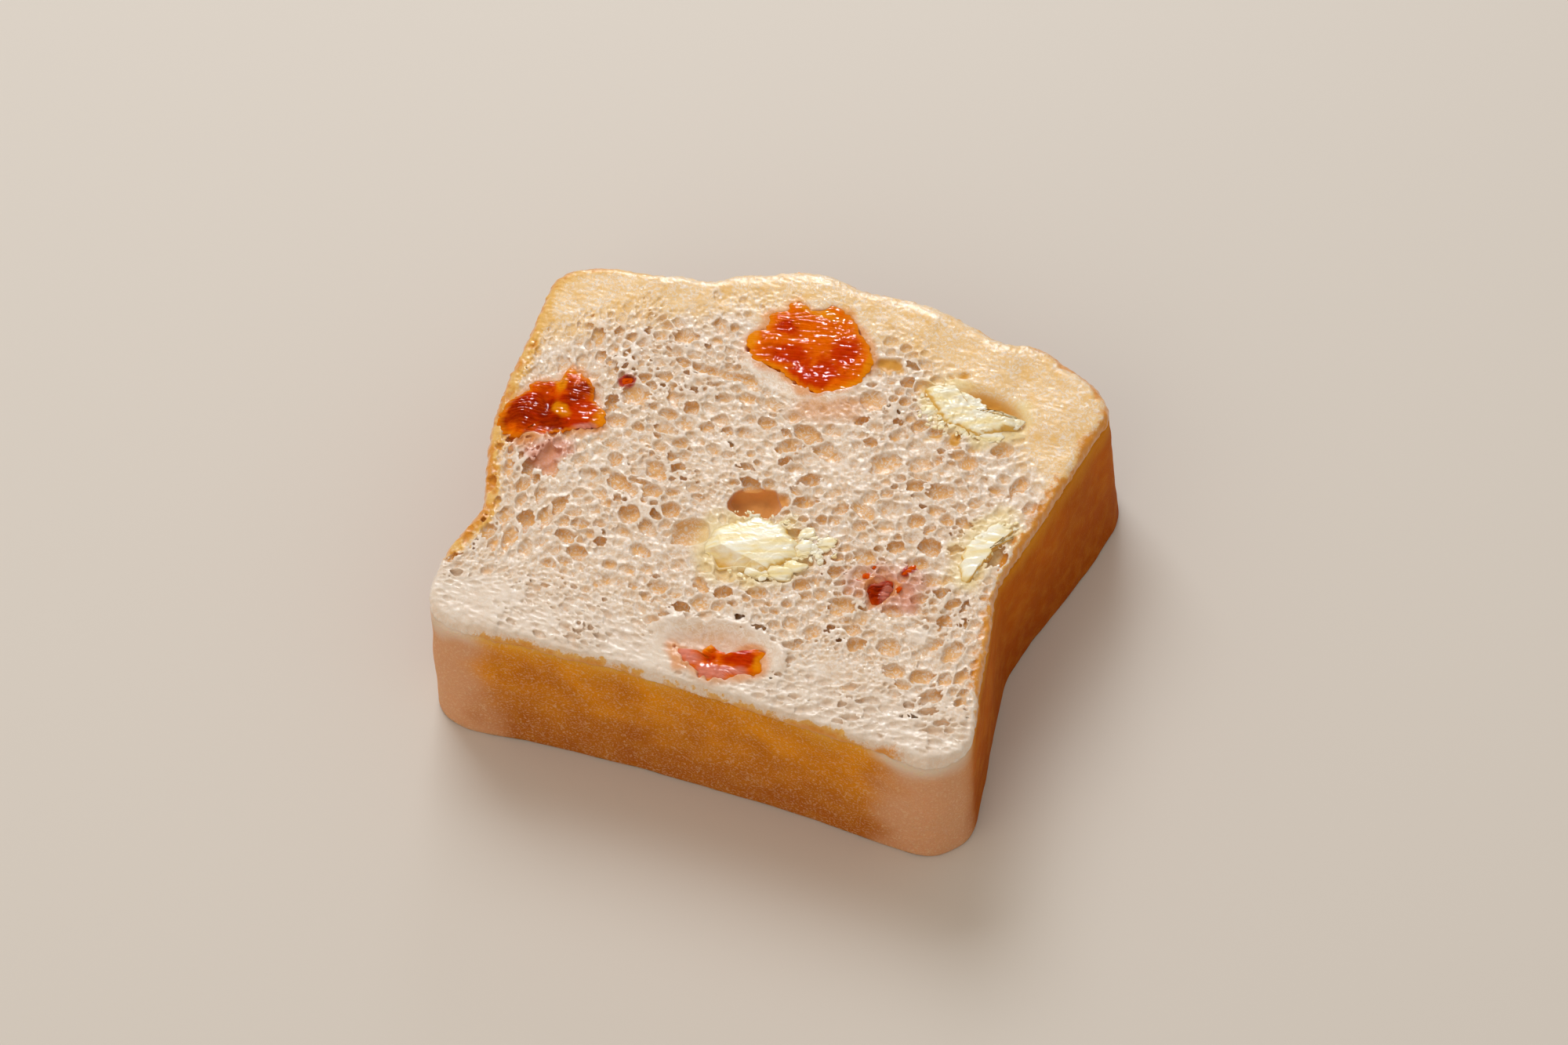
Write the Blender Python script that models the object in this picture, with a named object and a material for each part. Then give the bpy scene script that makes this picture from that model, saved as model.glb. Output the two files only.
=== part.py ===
"""A thick slice of pale tin-loaf bread with dried apricot and white chocolate baked into it.

The slice lies flat with a cut face up. +X runs along the loaf's base crust, +Y points to the
domed top crust and +Z is up. The origin is on the ground, under the middle of the slice's box.
Every size in the tables below is in millimetres.
"""

import collections
import math
import random

import bmesh
import bpy
from mathutils import Matrix, Vector, noise

MM = 0.001

# Driving dimensions.
THICKNESS = 25.0
FIT_GAP = 0.3
TOP_EDGE_ROUND = 0.9
FOOT_EDGE_ROUND = 0.5
WALL_RELIEF = 0.28
WALL_RELIEF_SIZE = 9.0
RAGGED_FOOT = 0.35
OUTLINE_STEP = 1.5
POCKET_HEADROOM = 3.0
FINE_ABOVE = 7.0
RIDGE_SPACING = 3.0

# The outline of the cut face, anticlockwise from the left end of the base crust. Each corner is
# (x, y, rise, flare): rise is how far the arc to the next corner bulges outwards, and flare is
# how much further out the wall stands at the foot than at the cut face. The dome is a row of
# bulges that meet in creases, where the dough wrinkled as it cooled.
OUTLINE = {
    "base left": (-34.3, -33.5, -1.3, 1.6),
    "base right": (33.5, -32.8, 0.9, 0.2),
    "heel right": (37.9, -27.0, 0.1, 1.0),
    "waist right": (33.2, -2.4, 0.2, 1.9),
    "under shoulder right": (38.5, 27.4, 0.1, 3.4),
    "shoulder right": (39.1, 29.7, 1.6, 2.9),
    "crease far right": (30.8, 36.2, 1.8, 1.8),
    "crease right": (21.2, 37.2, 1.7, 1.2),
    "crease middle": (-1.2, 39.9, 2.0, 0.8),
    "crease left": (-15.5, 37.8, 0.8, 0.6),
    "crease valley": (-21.9, 34.1, 0.5, 0.6),
    "crease far left": (-29.6, 32.5, 0.9, 0.6),
    "shoulder left": (-40.3, 29.9, 1.0, 0.4),
    "under shoulder left": (-43.8, 25.0, -0.3, 0.0),
    "side left": (-43.1, 8.8, 1.1, 0.2),
    "waist left": (-37.4, -13.5, 0.4, 0.9),
    "heel left": (-39.4, -24.5, 0.4, 1.0),
    "corner left": (-38.1, -31.5, 0.4, 1.4),
}

# Pieces baked into the crumb and cut through by the knife. Each is an ellipse seen from above,
# made uneven by its reach: how far out it goes, as a share of the ellipse, in eight directions
# from its own long axis anticlockwise. Fruit is rounded and fibrous, and chocolate is a blocky
# chunk. Depth goes down from the cut face, and rise is how far it stands proud of it.
Chunk = collections.namedtuple(
    "Chunk", "x y half_length half_width turn depth rise boxiness ridge reach"
)
APRICOTS = {
    "apricot_top": Chunk(
        x=-4.1, y=27.0, half_length=8.7, half_width=7.7, turn=0, depth=9.5, rise=0.7,
        boxiness=2.2, ridge=0.35, reach=(1.02, 0.97, 1.04, 1.04, 1.08, 0.95, 0.94, 1.10),
    ),
    "apricot_left": Chunk(
        x=-34.3, y=5.4, half_length=7.2, half_width=5.8, turn=22, depth=8.0, rise=0.6,
        boxiness=2.2, ridge=0.30, reach=(0.92, 1.02, 1.02, 0.86, 0.99, 1.08, 0.98, 0.9),
    ),
    "apricot_right": Chunk(
        x=19.1, y=-6.6, half_length=4.1, half_width=3.6, turn=75, depth=6.5, rise=0.2,
        boxiness=2.1, ridge=0.12, reach=(1.0, 0.92, 0.84, 0.93, 1.0, 0.84, 0.85, 0.97),
    ),
    "apricot_bottom": Chunk(
        x=1.9, y=-26.9, half_length=6.6, half_width=2.6, turn=11, depth=6.0, rise=0.4,
        boxiness=2.2, ridge=0.15, reach=(1.0, 1.16, 0.88, 0.9, 1.0, 1.05, 1.05, 1.0),
    ),
}
CHOCOLATES = {
    "white_chocolate_centre": Chunk(
        x=1.3, y=-8.0, half_length=8.0, half_width=4.4, turn=0, depth=7.5, rise=0.8,
        boxiness=2.9, ridge=0.0, reach=(0.94, 1.16, 1.05, 0.9, 0.9, 1.12, 0.93, 0.92),
    ),
    "white_chocolate_upper": Chunk(
        x=21.0, y=22.4, half_length=7.1, half_width=3.5, turn=-4, depth=7.0, rise=0.7,
        boxiness=2.9, ridge=0.0, reach=(1.05, 0.8, 0.86, 1.1, 0.98, 0.98, 1.0, 1.05),
    ),
    "white_chocolate_side": Chunk(
        x=29.6, y=1.7, half_length=5.5, half_width=1.9, turn=76, depth=6.0, rise=0.3,
        boxiness=2.6, ridge=0.0, reach=(1.0, 0.95, 1.0, 1.1, 0.98, 1.0, 0.9, 1.0),
    ),
}

# Air holes that stand out in the upper cut face: (x, y, half length, half width, turn, depth).
LARGE_PORES = (
    (-2.1, -1.0, 3.7, 2.3, 12.0, 5.0),
    (-10.6, -7.6, 2.2, 2.0, 30.0, 3.0),
    (-28.2, -11.9, 3.2, 0.9, 72.0, 2.4),
    (-25.0, -5.1, 1.8, 1.2, 60.0, 2.2),
    (-15.3, 18.1, 3.9, 0.9, -6.0, 2.2),
    (24.8, 27.9, 3.9, 1.1, -12.0, 1.8),
)

# Smaller air holes, drawn at random: how many in each cut face, and their half sizes.
UPPER_PORES, LOWER_PORES = 64, 34
PORE_HALF_SIZE = (0.8, 1.8)
PORE_STRETCH = (1.0, 1.6)
PORE_DEPTH_SHARE = 1.1
PORE_SPACING = 1.1
CRUST_MARGIN = 4.5
DENSE_BASE_BAND = 10.0
DENSE_DOME_BAND = 9.0
REST_SPOT_CLEAR = 7.0
PORE_SEED = 11


def clear_scene():
    for obj in list(bpy.data.objects):
        bpy.data.objects.remove(obj)


def material(name, colour, roughness, subsurface=0.0):
    made = bpy.data.materials.new(name)
    made.use_nodes = True
    shader = made.node_tree.nodes["Principled BSDF"]
    shader.inputs["Base Color"].default_value = (*colour, 1.0)
    shader.inputs["Roughness"].default_value = roughness
    shader.inputs["Metallic"].default_value = 0.0
    shader.inputs["Subsurface Weight"].default_value = subsurface
    made.diffuse_color = (*colour, 1.0)
    return made


def new_object(name, bm, materials, smooth_angle=math.radians(35)):
    mesh = bpy.data.meshes.new(name)
    bm.to_mesh(mesh)
    bm.free()
    for each in materials:
        mesh.materials.append(each)
    mesh.shade_smooth()
    mesh.set_sharp_from_angle(angle=smooth_angle)
    obj = bpy.data.objects.new(name, mesh)
    bpy.context.scene.collection.objects.link(obj)
    return obj


def arc_points(start, end, rise, step):
    """Points from start up to, but not including, end, on an arc that bulges to the right of the way by rise."""
    chord = end - start
    outward = Vector((chord.y, -chord.x)).normalized()
    count = max(2, round(chord.length / step))
    shares = [i / count for i in range(count)]
    return [start + chord * s + outward * (rise * 4 * s * (1 - s)) for s in shares]


def outline(height_share):
    """The slice's outline at a height, from 0 at the foot to 1 at the upper cut face."""
    corners = list(OUTLINE.values())
    following = corners[1:] + corners[:1]
    points, flares = [], []
    for (x, y, rise, flare), (next_x, next_y, _, next_flare) in zip(corners, following):
        stretch = arc_points(Vector((x, y)), Vector((next_x, next_y)), rise, OUTLINE_STEP)
        points += stretch
        flares += [flare + (next_flare - flare) * i / len(stretch) for i in range(len(stretch))]
    points = softened(points)
    flared = []
    for point, way_out, flare in zip(points, outward_normals(points), flares):
        flared.append(point + way_out * (flare * (1 - height_share)))
    return flared


def softened(points):
    """The same loop with its corners eased: each point moves halfway to the middle of its neighbours."""
    return [
        (points[i - 1] + 2 * points[i] + points[(i + 1) % len(points)]) / 4
        for i in range(len(points))
    ]


def outward_normals(points):
    normals = []
    for i, _ in enumerate(points):
        along = points[(i + 1) % len(points)] - points[i - 1]
        normals.append(Vector((along.y, -along.x)).normalized())
    return normals


def box_middle():
    """The middle of the slice's box seen from above, which becomes the origin."""
    both = outline(0.0) + outline(1.0)
    xs, ys = [p.x for p in both], [p.y for p in both]
    return Vector(((min(xs) + max(xs)) / 2, (min(ys) + max(ys)) / 2))


def edge_inset(z):
    """How far the wall steps in near a cut face, so that its edge is softly rounded."""
    from_top, from_foot = THICKNESS - z, z
    inset = 0.0
    if from_top < TOP_EDGE_ROUND:
        inset += TOP_EDGE_ROUND - math.sqrt(TOP_EDGE_ROUND**2 - (TOP_EDGE_ROUND - from_top) ** 2)
    if from_foot < FOOT_EDGE_ROUND:
        inset += FOOT_EDGE_ROUND - math.sqrt(FOOT_EDGE_ROUND**2 - (FOOT_EDGE_ROUND - from_foot) ** 2)
    return inset


def wall_rings(middle):
    """The wall's rings of points from the foot to the cut face, with the crust's soft relief."""
    top = THICKNESS
    heights = [0.0, 0.5, 5.0, 10.0, 15.0, 20.0, top - TOP_EDGE_ROUND, top - TOP_EDGE_ROUND / 3, top]
    rings = []
    for z in heights:
        points = outline(z / THICKNESS)
        ring = []
        for point, way_out in zip(points, outward_normals(points)):
            spot = Vector((point.x, point.y, z)) / WALL_RELIEF_SIZE
            inset = edge_inset(z) - WALL_RELIEF * noise.noise(spot)
            if z == 0.0:
                inset += RAGGED_FOOT * abs(noise.noise(spot * 7))
            at = point - way_out * inset - middle
            ring.append(Vector((at.x, at.y, z)) * MM)
        rings.append(ring)
    return rings


def slice_body(middle, crust, crumb):
    bm = bmesh.new()
    rings = [[bm.verts.new(point) for point in ring] for ring in wall_rings(middle)]
    for lower, upper in zip(rings, rings[1:]):
        for i in range(len(lower)):
            j = (i + 1) % len(lower)
            bm.faces.new((lower[i], lower[j], upper[j], upper[i]))
    for cut_face in (bm.faces.new(rings[-1]), bm.faces.new(rings[0][::-1])):
        cut_face.material_index = 1
    bmesh.ops.recalc_face_normals(bm, faces=bm.faces)
    return new_object("bread_slice", bm, (crust, crumb))


def squared(direction, power):
    """How far out a unit sphere's point goes on a form that is round at power 2 and boxier above it."""
    return (sum(abs(part) ** power for part in direction)) ** (-1 / power)


def reach_towards(reach, way):
    """The reach in the direction of way, blended smoothly between the eight stated ones."""
    place = math.atan2(way.y, way.x) / math.tau * len(reach)
    before = math.floor(place)
    share = place - before
    blend = share * share * (3 - 2 * share)
    low, high = reach[before % len(reach)], reach[(before + 1) % len(reach)]
    return low + (high - low) * blend


def lump(chunk, middle, grow=0.0, headroom=None):
    """A chunk cut by the knife: deep below the cut face and low above it, or open upwards as its pocket."""
    bm = bmesh.new()
    fineness = 3 if chunk.half_length > FINE_ABOVE else 2
    bmesh.ops.create_icosphere(bm, subdivisions=fineness, radius=1.0)
    spin = Matrix.Rotation(math.radians(chunk.turn), 3, "Z")
    seat = Vector((chunk.x - middle.x, chunk.y - middle.y, THICKNESS))
    for vert in bm.verts:
        way = vert.co.normalized()
        sideways = reach_towards(chunk.reach, way) * squared(way, chunk.boxiness)
        x = way.x * (sideways * chunk.half_length + grow)
        y = way.y * (sideways * chunk.half_width + grow)
        up = way.z * squared(way, chunk.boxiness)
        if up < 0:
            z = up * (chunk.depth + grow)
        elif headroom is None:
            z = up * (chunk.rise + chunk.ridge * math.sin(y * math.tau / RIDGE_SPACING))
        else:
            z = up * headroom
        vert.co = (spin @ Vector((x, y, z)) + seat) * MM
    return bm


def pore(bm, x, y, z, half_length, half_width, turn, depth):
    """Adds one air hole's rounded form to bm, centred on a cut face at height z."""
    spin = Matrix.Rotation(math.radians(turn), 4, "Z")
    form = Matrix.Diagonal((half_length * MM, half_width * MM, depth * MM, 1.0))
    place = Matrix.Translation(Vector((x, y, z)) * MM)
    bmesh.ops.create_icosphere(bm, subdivisions=1, radius=1.0, matrix=place @ spin @ form)


def distance_to_outline(point, points):
    return min((point - each).length for each in points)


def clear_of_pieces(point, reach, pieces):
    away = [(point - Vector((piece.x, piece.y))).length - piece.half_length for piece in pieces]
    return not away or min(away) > reach + PORE_SPACING


def random_pores(count, draw, taken, pieces, rest_spot=None):
    """Air holes at random places, most of them in the open middle of the crumb: the bands by the crusts are dense."""
    edge = outline(1.0)
    low_y, high_y = min(p.y for p in edge), max(p.y for p in edge)
    low_x, high_x = min(p.x for p in edge), max(p.x for p in edge)
    found = []
    for _ in range(count * 60):
        if len(found) == count:
            break
        point = Vector((draw.uniform(low_x, high_x), draw.uniform(low_y, high_y)))
        size = draw.uniform(*PORE_HALF_SIZE)
        stretch = draw.uniform(*PORE_STRETCH)
        turn = draw.uniform(0, 180)
        reach = size * stretch
        in_dense_band = not low_y + DENSE_BASE_BAND < point.y < high_y - DENSE_DOME_BAND
        if in_dense_band or abs(point.x) > high_x - 3 or distance_to_outline(point, edge) < CRUST_MARGIN:
            continue
        if rest_spot and (point - rest_spot).length < REST_SPOT_CLEAR:
            continue
        if not clear_of_pieces(point, reach, pieces):
            continue
        if any((point - other).length < reach + other_reach + PORE_SPACING for other, other_reach in taken):
            continue
        taken.append((point, reach))
        found.append((point.x, point.y, reach, size, turn, size * PORE_DEPTH_SHARE))
    return found


def pore_cutter(name, rows, z, middle, crumb):
    bm = bmesh.new()
    for x, y, half_length, half_width, turn, depth in rows:
        pore(bm, x - middle.x, y - middle.y, z, half_length, half_width, turn, depth)
    return as_cutter(new_object(name, bm, (crumb, crumb)))


def as_cutter(obj):
    for polygon in obj.data.polygons:
        polygon.material_index = 1
    obj.hide_render = True
    obj.display_type = "WIRE"
    return obj


def cut(body, cutter):
    modifier = body.modifiers.new(cutter.name, "BOOLEAN")
    modifier.operation = "DIFFERENCE"
    modifier.object = cutter
    modifier.solver = "EXACT"


def main():
    clear_scene()
    crust = material("baked crust", (0.80, 0.50, 0.20), 0.6, 0.1)
    crumb = material("white bread crumb", (0.86, 0.79, 0.66), 0.5, 0.3)
    apricot = material("dried apricot", (0.66, 0.13, 0.02), 0.25, 0.3)
    chocolate = material("white chocolate", (0.90, 0.80, 0.46), 0.4, 0.2)

    middle = box_middle()
    body = slice_body(middle, crust, crumb)
    pieces = [*APRICOTS.values(), *CHOCOLATES.values()]

    for names, finish in ((APRICOTS, apricot), (CHOCOLATES, chocolate)):
        for name, chunk in names.items():
            new_object(name, lump(chunk, middle), (finish,), math.radians(50))
            pocket = lump(chunk, middle, grow=FIT_GAP, headroom=POCKET_HEADROOM)
            cut(body, as_cutter(new_object("pocket_of_" + name, pocket, (crumb, crumb))))

    draw = random.Random(PORE_SEED)
    taken = [(Vector(row[:2]), row[2]) for row in LARGE_PORES]
    upper = [*LARGE_PORES, *random_pores(UPPER_PORES, draw, taken, pieces)]
    lower = random_pores(LOWER_PORES, draw, [], [], rest_spot=middle)
    cut(body, pore_cutter("upper_pores", upper, THICKNESS, middle, crumb))
    cut(body, pore_cutter("lower_pores", lower, 0.0, middle, crumb))


main()
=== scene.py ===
# %% [markdown]
# # A slice of bread with dried apricot and white chocolate
#
# The slice was modelled first as plain solids at their real size: one for the bread, and one for
# each piece of fruit and chocolate. This script loads them as a fixed frame and builds the
# surfaces that the eye sees around them. Everything stays where the solids are.

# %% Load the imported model
import math

import bmesh
import bpy
import numpy as np
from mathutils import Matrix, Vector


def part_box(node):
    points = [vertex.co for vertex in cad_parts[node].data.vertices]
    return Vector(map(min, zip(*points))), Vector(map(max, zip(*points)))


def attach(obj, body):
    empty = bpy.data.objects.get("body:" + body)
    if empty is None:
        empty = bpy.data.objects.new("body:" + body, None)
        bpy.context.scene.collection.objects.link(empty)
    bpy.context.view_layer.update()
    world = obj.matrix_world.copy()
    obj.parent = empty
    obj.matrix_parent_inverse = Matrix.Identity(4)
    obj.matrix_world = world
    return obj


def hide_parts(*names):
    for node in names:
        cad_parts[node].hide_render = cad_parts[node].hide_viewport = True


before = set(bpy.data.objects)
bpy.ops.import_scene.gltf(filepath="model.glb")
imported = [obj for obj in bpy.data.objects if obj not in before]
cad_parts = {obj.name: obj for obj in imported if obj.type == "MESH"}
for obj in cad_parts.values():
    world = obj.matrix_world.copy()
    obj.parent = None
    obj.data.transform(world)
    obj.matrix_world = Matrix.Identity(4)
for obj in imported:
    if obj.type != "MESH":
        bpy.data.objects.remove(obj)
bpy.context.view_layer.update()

import openvdb
from mathutils import Matrix, Vector

MM = 0.001
bread_low, bread_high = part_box("bread_slice")
THICKNESS = bread_high.z / MM
print("bread box in mm:", [round(side / MM, 1) for side in bread_high - bread_low])

# %% [markdown]
# Colours are picked as sRGB hex values, the way a colour picker shows them, but Blender's shaders work in
# linear light. One small function turns one into the other. A second one adds a node to a material with its
# settings and its links in a single line. A third one lays colours over a ground colour one by one, each
# where a pattern or a mask says, the way one glazes a cake.


# %% Colour and node helpers
def linear(hex_colour):
    parts = [int(hex_colour[i : i + 2], 16) / 255 for i in (1, 3, 5)]
    return tuple(c / 12.92 if c <= 0.04045 else ((c + 0.055) / 1.055) ** 2.4 for c in parts) + (1.0,)


def add(material, kind, links=(), **settings):
    """Adds a node. Settings are its properties, or its inputs by name; links are (input, socket)."""
    node = material.node_tree.nodes.new(kind)
    for key, value in settings.items():
        if key in node.bl_rna.properties:
            setattr(node, key, value)
        else:
            node.inputs[key.replace("_", " ")].default_value = value
    for name, socket in links:
        material.node_tree.links.new(socket, node.inputs[name])
    return node


def new_material(name, **settings):
    made = bpy.data.materials.new(name)
    made.use_nodes = True
    shader = made.node_tree.nodes["Principled BSDF"]
    for key, value in settings.items():
        shader.inputs[key.replace("_", " ")].default_value = value
    return made, shader


def painted(material, ground, *layers):
    """Lays colours over a ground colour. A layer is where it goes, the two ends of that, how strong
    it gets and its colour. A colour is a hex value or what another node gives."""
    for where, low, high, strength, colour in layers:
        span = {"From_Min": low, "From_Max": high, "To_Max": strength}
        share = add(material, "ShaderNodeMapRange", [("Value", where)], **span)
        mix = add(material, "ShaderNodeMix", [(0, share.outputs[0])], data_type="RGBA")
        for socket, value in ((6, ground), (7, colour)):
            if isinstance(value, str):
                mix.inputs[socket].default_value = linear(value)
            else:
                material.node_tree.links.new(value, mix.inputs[socket])
        ground = mix.outputs[2]
    return ground


def deselect_all():
    if bpy.context.mode != "OBJECT":
        bpy.ops.object.mode_set(mode="OBJECT")
    bpy.ops.object.select_all(action="DESELECT")


# %% [markdown]
# The slice's outline is read from the frame, so the crust and crumb fit the solid exactly. A copy
# of the solid is cut by a level plane, and the longest loop that the cut leaves is the outline at
# that height. The other loops are air holes and the pockets of the fruit.


# %% Read an outline from a solid at a height
def outline_of(node, height):
    """The longest loop, in millimetres, that a level plane cuts from a node."""
    bm = bmesh.new()
    bm.from_mesh(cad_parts[node].data)
    bmesh.ops.remove_doubles(bm, verts=bm.verts, dist=1e-7)
    whole = bm.verts[:] + bm.edges[:] + bm.faces[:]
    cut = bmesh.ops.bisect_plane(bm, geom=whole, plane_co=(0, 0, height * MM), plane_no=(0, 0, 1))
    # A dictionary keeps its order where a set wouldn't, so that the loop starts at the same point
    # in every run.
    edges = dict.fromkeys(e for e in cut["geom_cut"] if isinstance(e, bmesh.types.BMEdge))
    best, best_length = [], 0.0
    while edges:
        edge, _ = edges.popitem()
        loop, length = [edge.verts[0], edge.verts[1]], edge.calc_length()
        while True:
            ahead = [e for e in loop[-1].link_edges if e in edges]
            if not ahead:
                break
            edges.pop(ahead[0])
            length += ahead[0].calc_length()
            loop.append(ahead[0].other_vert(loop[-1]))
        if length > best_length:
            best, best_length = [v.co.xy / MM for v in loop[:-1]], length
    bm.free()
    points = np.array([tuple(p) for p in best])
    following = np.roll(points, -1, axis=0)
    area = np.sum(points[:, 0] * following[:, 1] - points[:, 1] * following[:, 0])
    return points if area > 0 else points[::-1]


def radius_towards(points, angles, centre=(0.0, 0.0)):
    """How far a loop is from the centre in each direction."""
    away = points - np.array(centre)
    way = np.arctan2(away[:, 1], away[:, 0])
    reach = np.hypot(away[:, 0], away[:, 1])
    order = np.argsort(way)
    return np.interp(angles, way[order], reach[order], period=2 * np.pi)


top_outline = outline_of("bread_slice", THICKNESS - 1.0)
foot_outline = outline_of("bread_slice", 0.6)
print("outline points:", len(top_outline), len(foot_outline))

# %% [markdown]
# Baked things are uneven at every scale, so nearly every shape below is stirred with smooth noise:
# random values on a coarse lattice, blended between its corners. One version fills a whole grid
# quickly, and the other gives values at scattered points.


# %% Smooth noise
def grid_noise(axes, scale, seed):
    values = np.random.default_rng(seed)
    weights = []
    for axis in axes:
        at = (axis - axis[0]) / scale
        first = at.astype(int)
        share = at - first
        share = share * share * (3 - 2 * share)
        matrix = np.zeros((len(axis), first[-1] + 2), np.float32)
        matrix[np.arange(len(axis)), first] = 1 - share
        matrix[np.arange(len(axis)), first + 1] = share
        weights.append(matrix)
    values = values.standard_normal([matrix.shape[1] for matrix in weights]).astype(np.float32)
    for k, matrix in enumerate(weights):
        values = np.moveaxis(np.tensordot(matrix, values, (1, k)), 0, k)
    return values


NOISE_VALUES = np.random.default_rng(1).standard_normal(4096)
HASH_FACTORS = np.array([73856093, 19349663, 83492791])


def point_noise(points, scale, seed):
    at = np.asarray(points, float) / scale
    cell = np.floor(at).astype(np.int64)
    share = at - cell
    share = share * share * (3 - 2 * share)
    total = np.zeros(len(at))
    for corner in np.ndindex(*(2,) * at.shape[1]):
        corner = np.array(corner)
        weight = np.prod(np.where(corner, share, 1 - share), axis=1)
        mixed = (cell + corner) * HASH_FACTORS[: at.shape[1]]
        key = np.bitwise_xor.reduce(mixed, axis=1) + seed * 2654435761
        key = (key ^ (key >> 15)) * 2246822519 & 0xFFFFFFFF
        total += weight * NOISE_VALUES[(key ^ (key >> 13)) % len(NOISE_VALUES)]
    return total


def smooth_step(low, high, value):
    share = np.clip((value - low) / (high - low), 0, 1)
    return share * share * (3 - 2 * share)


def distance_to_loop(points, x, y):
    """Signed distance from a closed loop, negative inside it."""
    nearest = np.full(x.shape, np.inf)
    inside = np.zeros(x.shape, bool)
    for (ax, ay), (bx, by) in zip(points, np.roll(points, -1, axis=0)):
        ex, ey = bx - ax, by - ay
        share = np.clip(((x - ax) * ex + (y - ay) * ey) / (ex * ex + ey * ey + 1e-12), 0, 1)
        nearest = np.minimum(nearest, (x - ax - ex * share) ** 2 + (y - ay - ey * share) ** 2)
        crosses = (ay > y) != (by > y)
        inside ^= crosses & (x < ex * (y - ay) / (by - ay + 1e-12) + ax)
    return np.where(inside, -1, 1) * np.sqrt(nearest)


# %% [markdown]
# The fruit and the chocolate are torn shapes, and the solids hold only their rough outline. Each finer
# outline below was drawn as a few points in millimetres, and is smoothed a little.
# What the frame says about each piece, its middle and its size, is printed beside it as a check.

# %% Outlines of the pieces baked into the crumb, in millimetres
OUTLINES = {
    "apricot_top": (
        (-11.2, 19.0), (-9.6, 18.4), (-7.2, 18.2), (-5.0, 17.8), (-3.6, 17.0), (-2.3, 16.0),
        (-1.0, 16.2), (0.9, 15.7), (1.3, 16.7), (2.8, 17.3), (4.3, 18.5), (5.4, 19.7), (5.4, 20.9),
        (5.5, 22.5), (6.1, 23.6), (4.7, 26.0), (3.5, 27.3), (2.4, 28.2), (1.2, 29.4), (0.1, 30.7),
        (-1.4, 31.4), (-3.0, 31.7), (-4.1, 30.4), (-5.4, 29.8), (-6.5, 30.6), (-7.9, 30.7),
        (-8.9, 29.6), (-9.4, 28.2), (-10.6, 27.7), (-11.0, 26.8), (-10.2, 25.7), (-10.9, 24.6),
        (-11.8, 23.5), (-12.5, 22.4), (-12.4, 20.6),
    ),
    "apricot_left": (
        (-38.9, -5.1), (-37.8, -4.7), (-36.3, -4.8), (-36.1, -3.8), (-34.2, -3.9), (-32.8, -3.5),
        (-32.6, -2.2), (-31.4, -2.0), (-29.6, -0.8), (-27.4, 0.0), (-25.9, 0.9), (-26.0, 2.5),
        (-27.2, 3.5), (-28.5, 4.5), (-29.6, 6.4), (-31.0, 7.7), (-32.7, 8.5), (-34.0, 8.8),
        (-34.8, 8.1), (-34.5, 6.4), (-35.4, 5.8), (-37.0, 5.7), (-38.3, 4.7), (-38.3, 3.2),
        (-39.3, 1.8), (-40.4, 0.6), (-40.6, -1.7), (-39.9, -3.9),
    ),
    "apricot_right": (
        (17.8, -12.9), (18.6, -14.0), (19.9, -14.4), (20.5, -13.8), (21.1, -12.4), (21.3, -10.7),
        (20.9, -9.9), (19.7, -9.7), (19.0, -10.6), (18.0, -10.8), (17.4, -11.7),
    ),
    "apricot_bottom": (
        (-2.4, -31.2), (-1.6, -31.8), (-0.1, -32.3), (1.5, -33.4), (2.9, -33.4), (4.0, -32.7),
        (5.8, -31.6), (7.3, -31.0), (8.2, -30.5), (9.2, -30.0), (9.3, -28.9), (8.7, -27.8),
        (8.7, -26.3), (7.3, -26.4), (6.2, -26.8), (4.9, -27.7), (3.5, -28.7), (2.3, -28.5),
        (1.3, -27.7), (0.5, -28.1), (0.3, -29.5), (-1.3, -29.2), (-2.9, -29.7), (-3.7, -29.6),
    ),
    "white_chocolate_centre": (
        (-4.3, -14.2), (-3.7, -15.5), (-2.6, -16.4), (-0.9, -15.6), (1.4, -14.7), (2.5, -15.4),
        (3.3, -14.7), (5.6, -13.2), (6.3, -12.1), (7.0, -11.2), (7.5, -10.0), (6.7, -8.5), (5.3, -7.8),
        (4.0, -6.4), (2.4, -6.2), (0.8, -6.4), (-0.5, -5.8), (-1.0, -6.3), (-2.1, -8.0), (-4.2, -8.7),
        (-5.0, -9.8), (-5.6, -11.4), (-5.7, -14.1),
    ),
    "white_chocolate_upper": (
        (15.1, 20.5), (16.1, 19.8), (17.4, 18.4), (18.4, 17.4), (19.6, 17.1), (21.2, 16.8),
        (23.0, 16.5), (24.4, 16.3), (24.9, 17.1), (26.0, 17.9), (27.4, 18.7), (28.7, 19.4),
        (29.1, 20.4), (28.4, 21.2), (27.6, 21.6), (26.7, 21.4), (25.9, 20.3), (24.9, 20.7),
        (23.9, 21.3), (23.0, 22.0), (21.9, 22.5), (21.0, 22.7), (19.9, 22.8), (18.7, 22.9),
        (17.9, 23.8), (16.6, 23.5), (15.4, 22.9), (14.3, 21.8),
    ),
    "white_chocolate_side": (
        (27.9, -2.3), (28.2, -3.8), (28.5, -5.5), (29.0, -7.1), (29.9, -7.3), (30.6, -6.5),
        (30.9, -5.1), (31.2, -3.9), (31.5, -2.7), (31.9, -1.3), (32.1, 0.1), (32.7, 1.4), (34.1, 2.2),
        (33.9, 3.1), (32.1, 3.3), (31.6, 4.2), (30.9, 3.9), (30.0, 3.1), (29.7, 1.6), (28.6, 0.8),
        (28.5, -0.5),
    ),
}
APRICOTS = [name for name in OUTLINES if name.startswith("apricot")]
CHOCOLATES = [name for name in OUTLINES if name.startswith("white_chocolate")]


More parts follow.
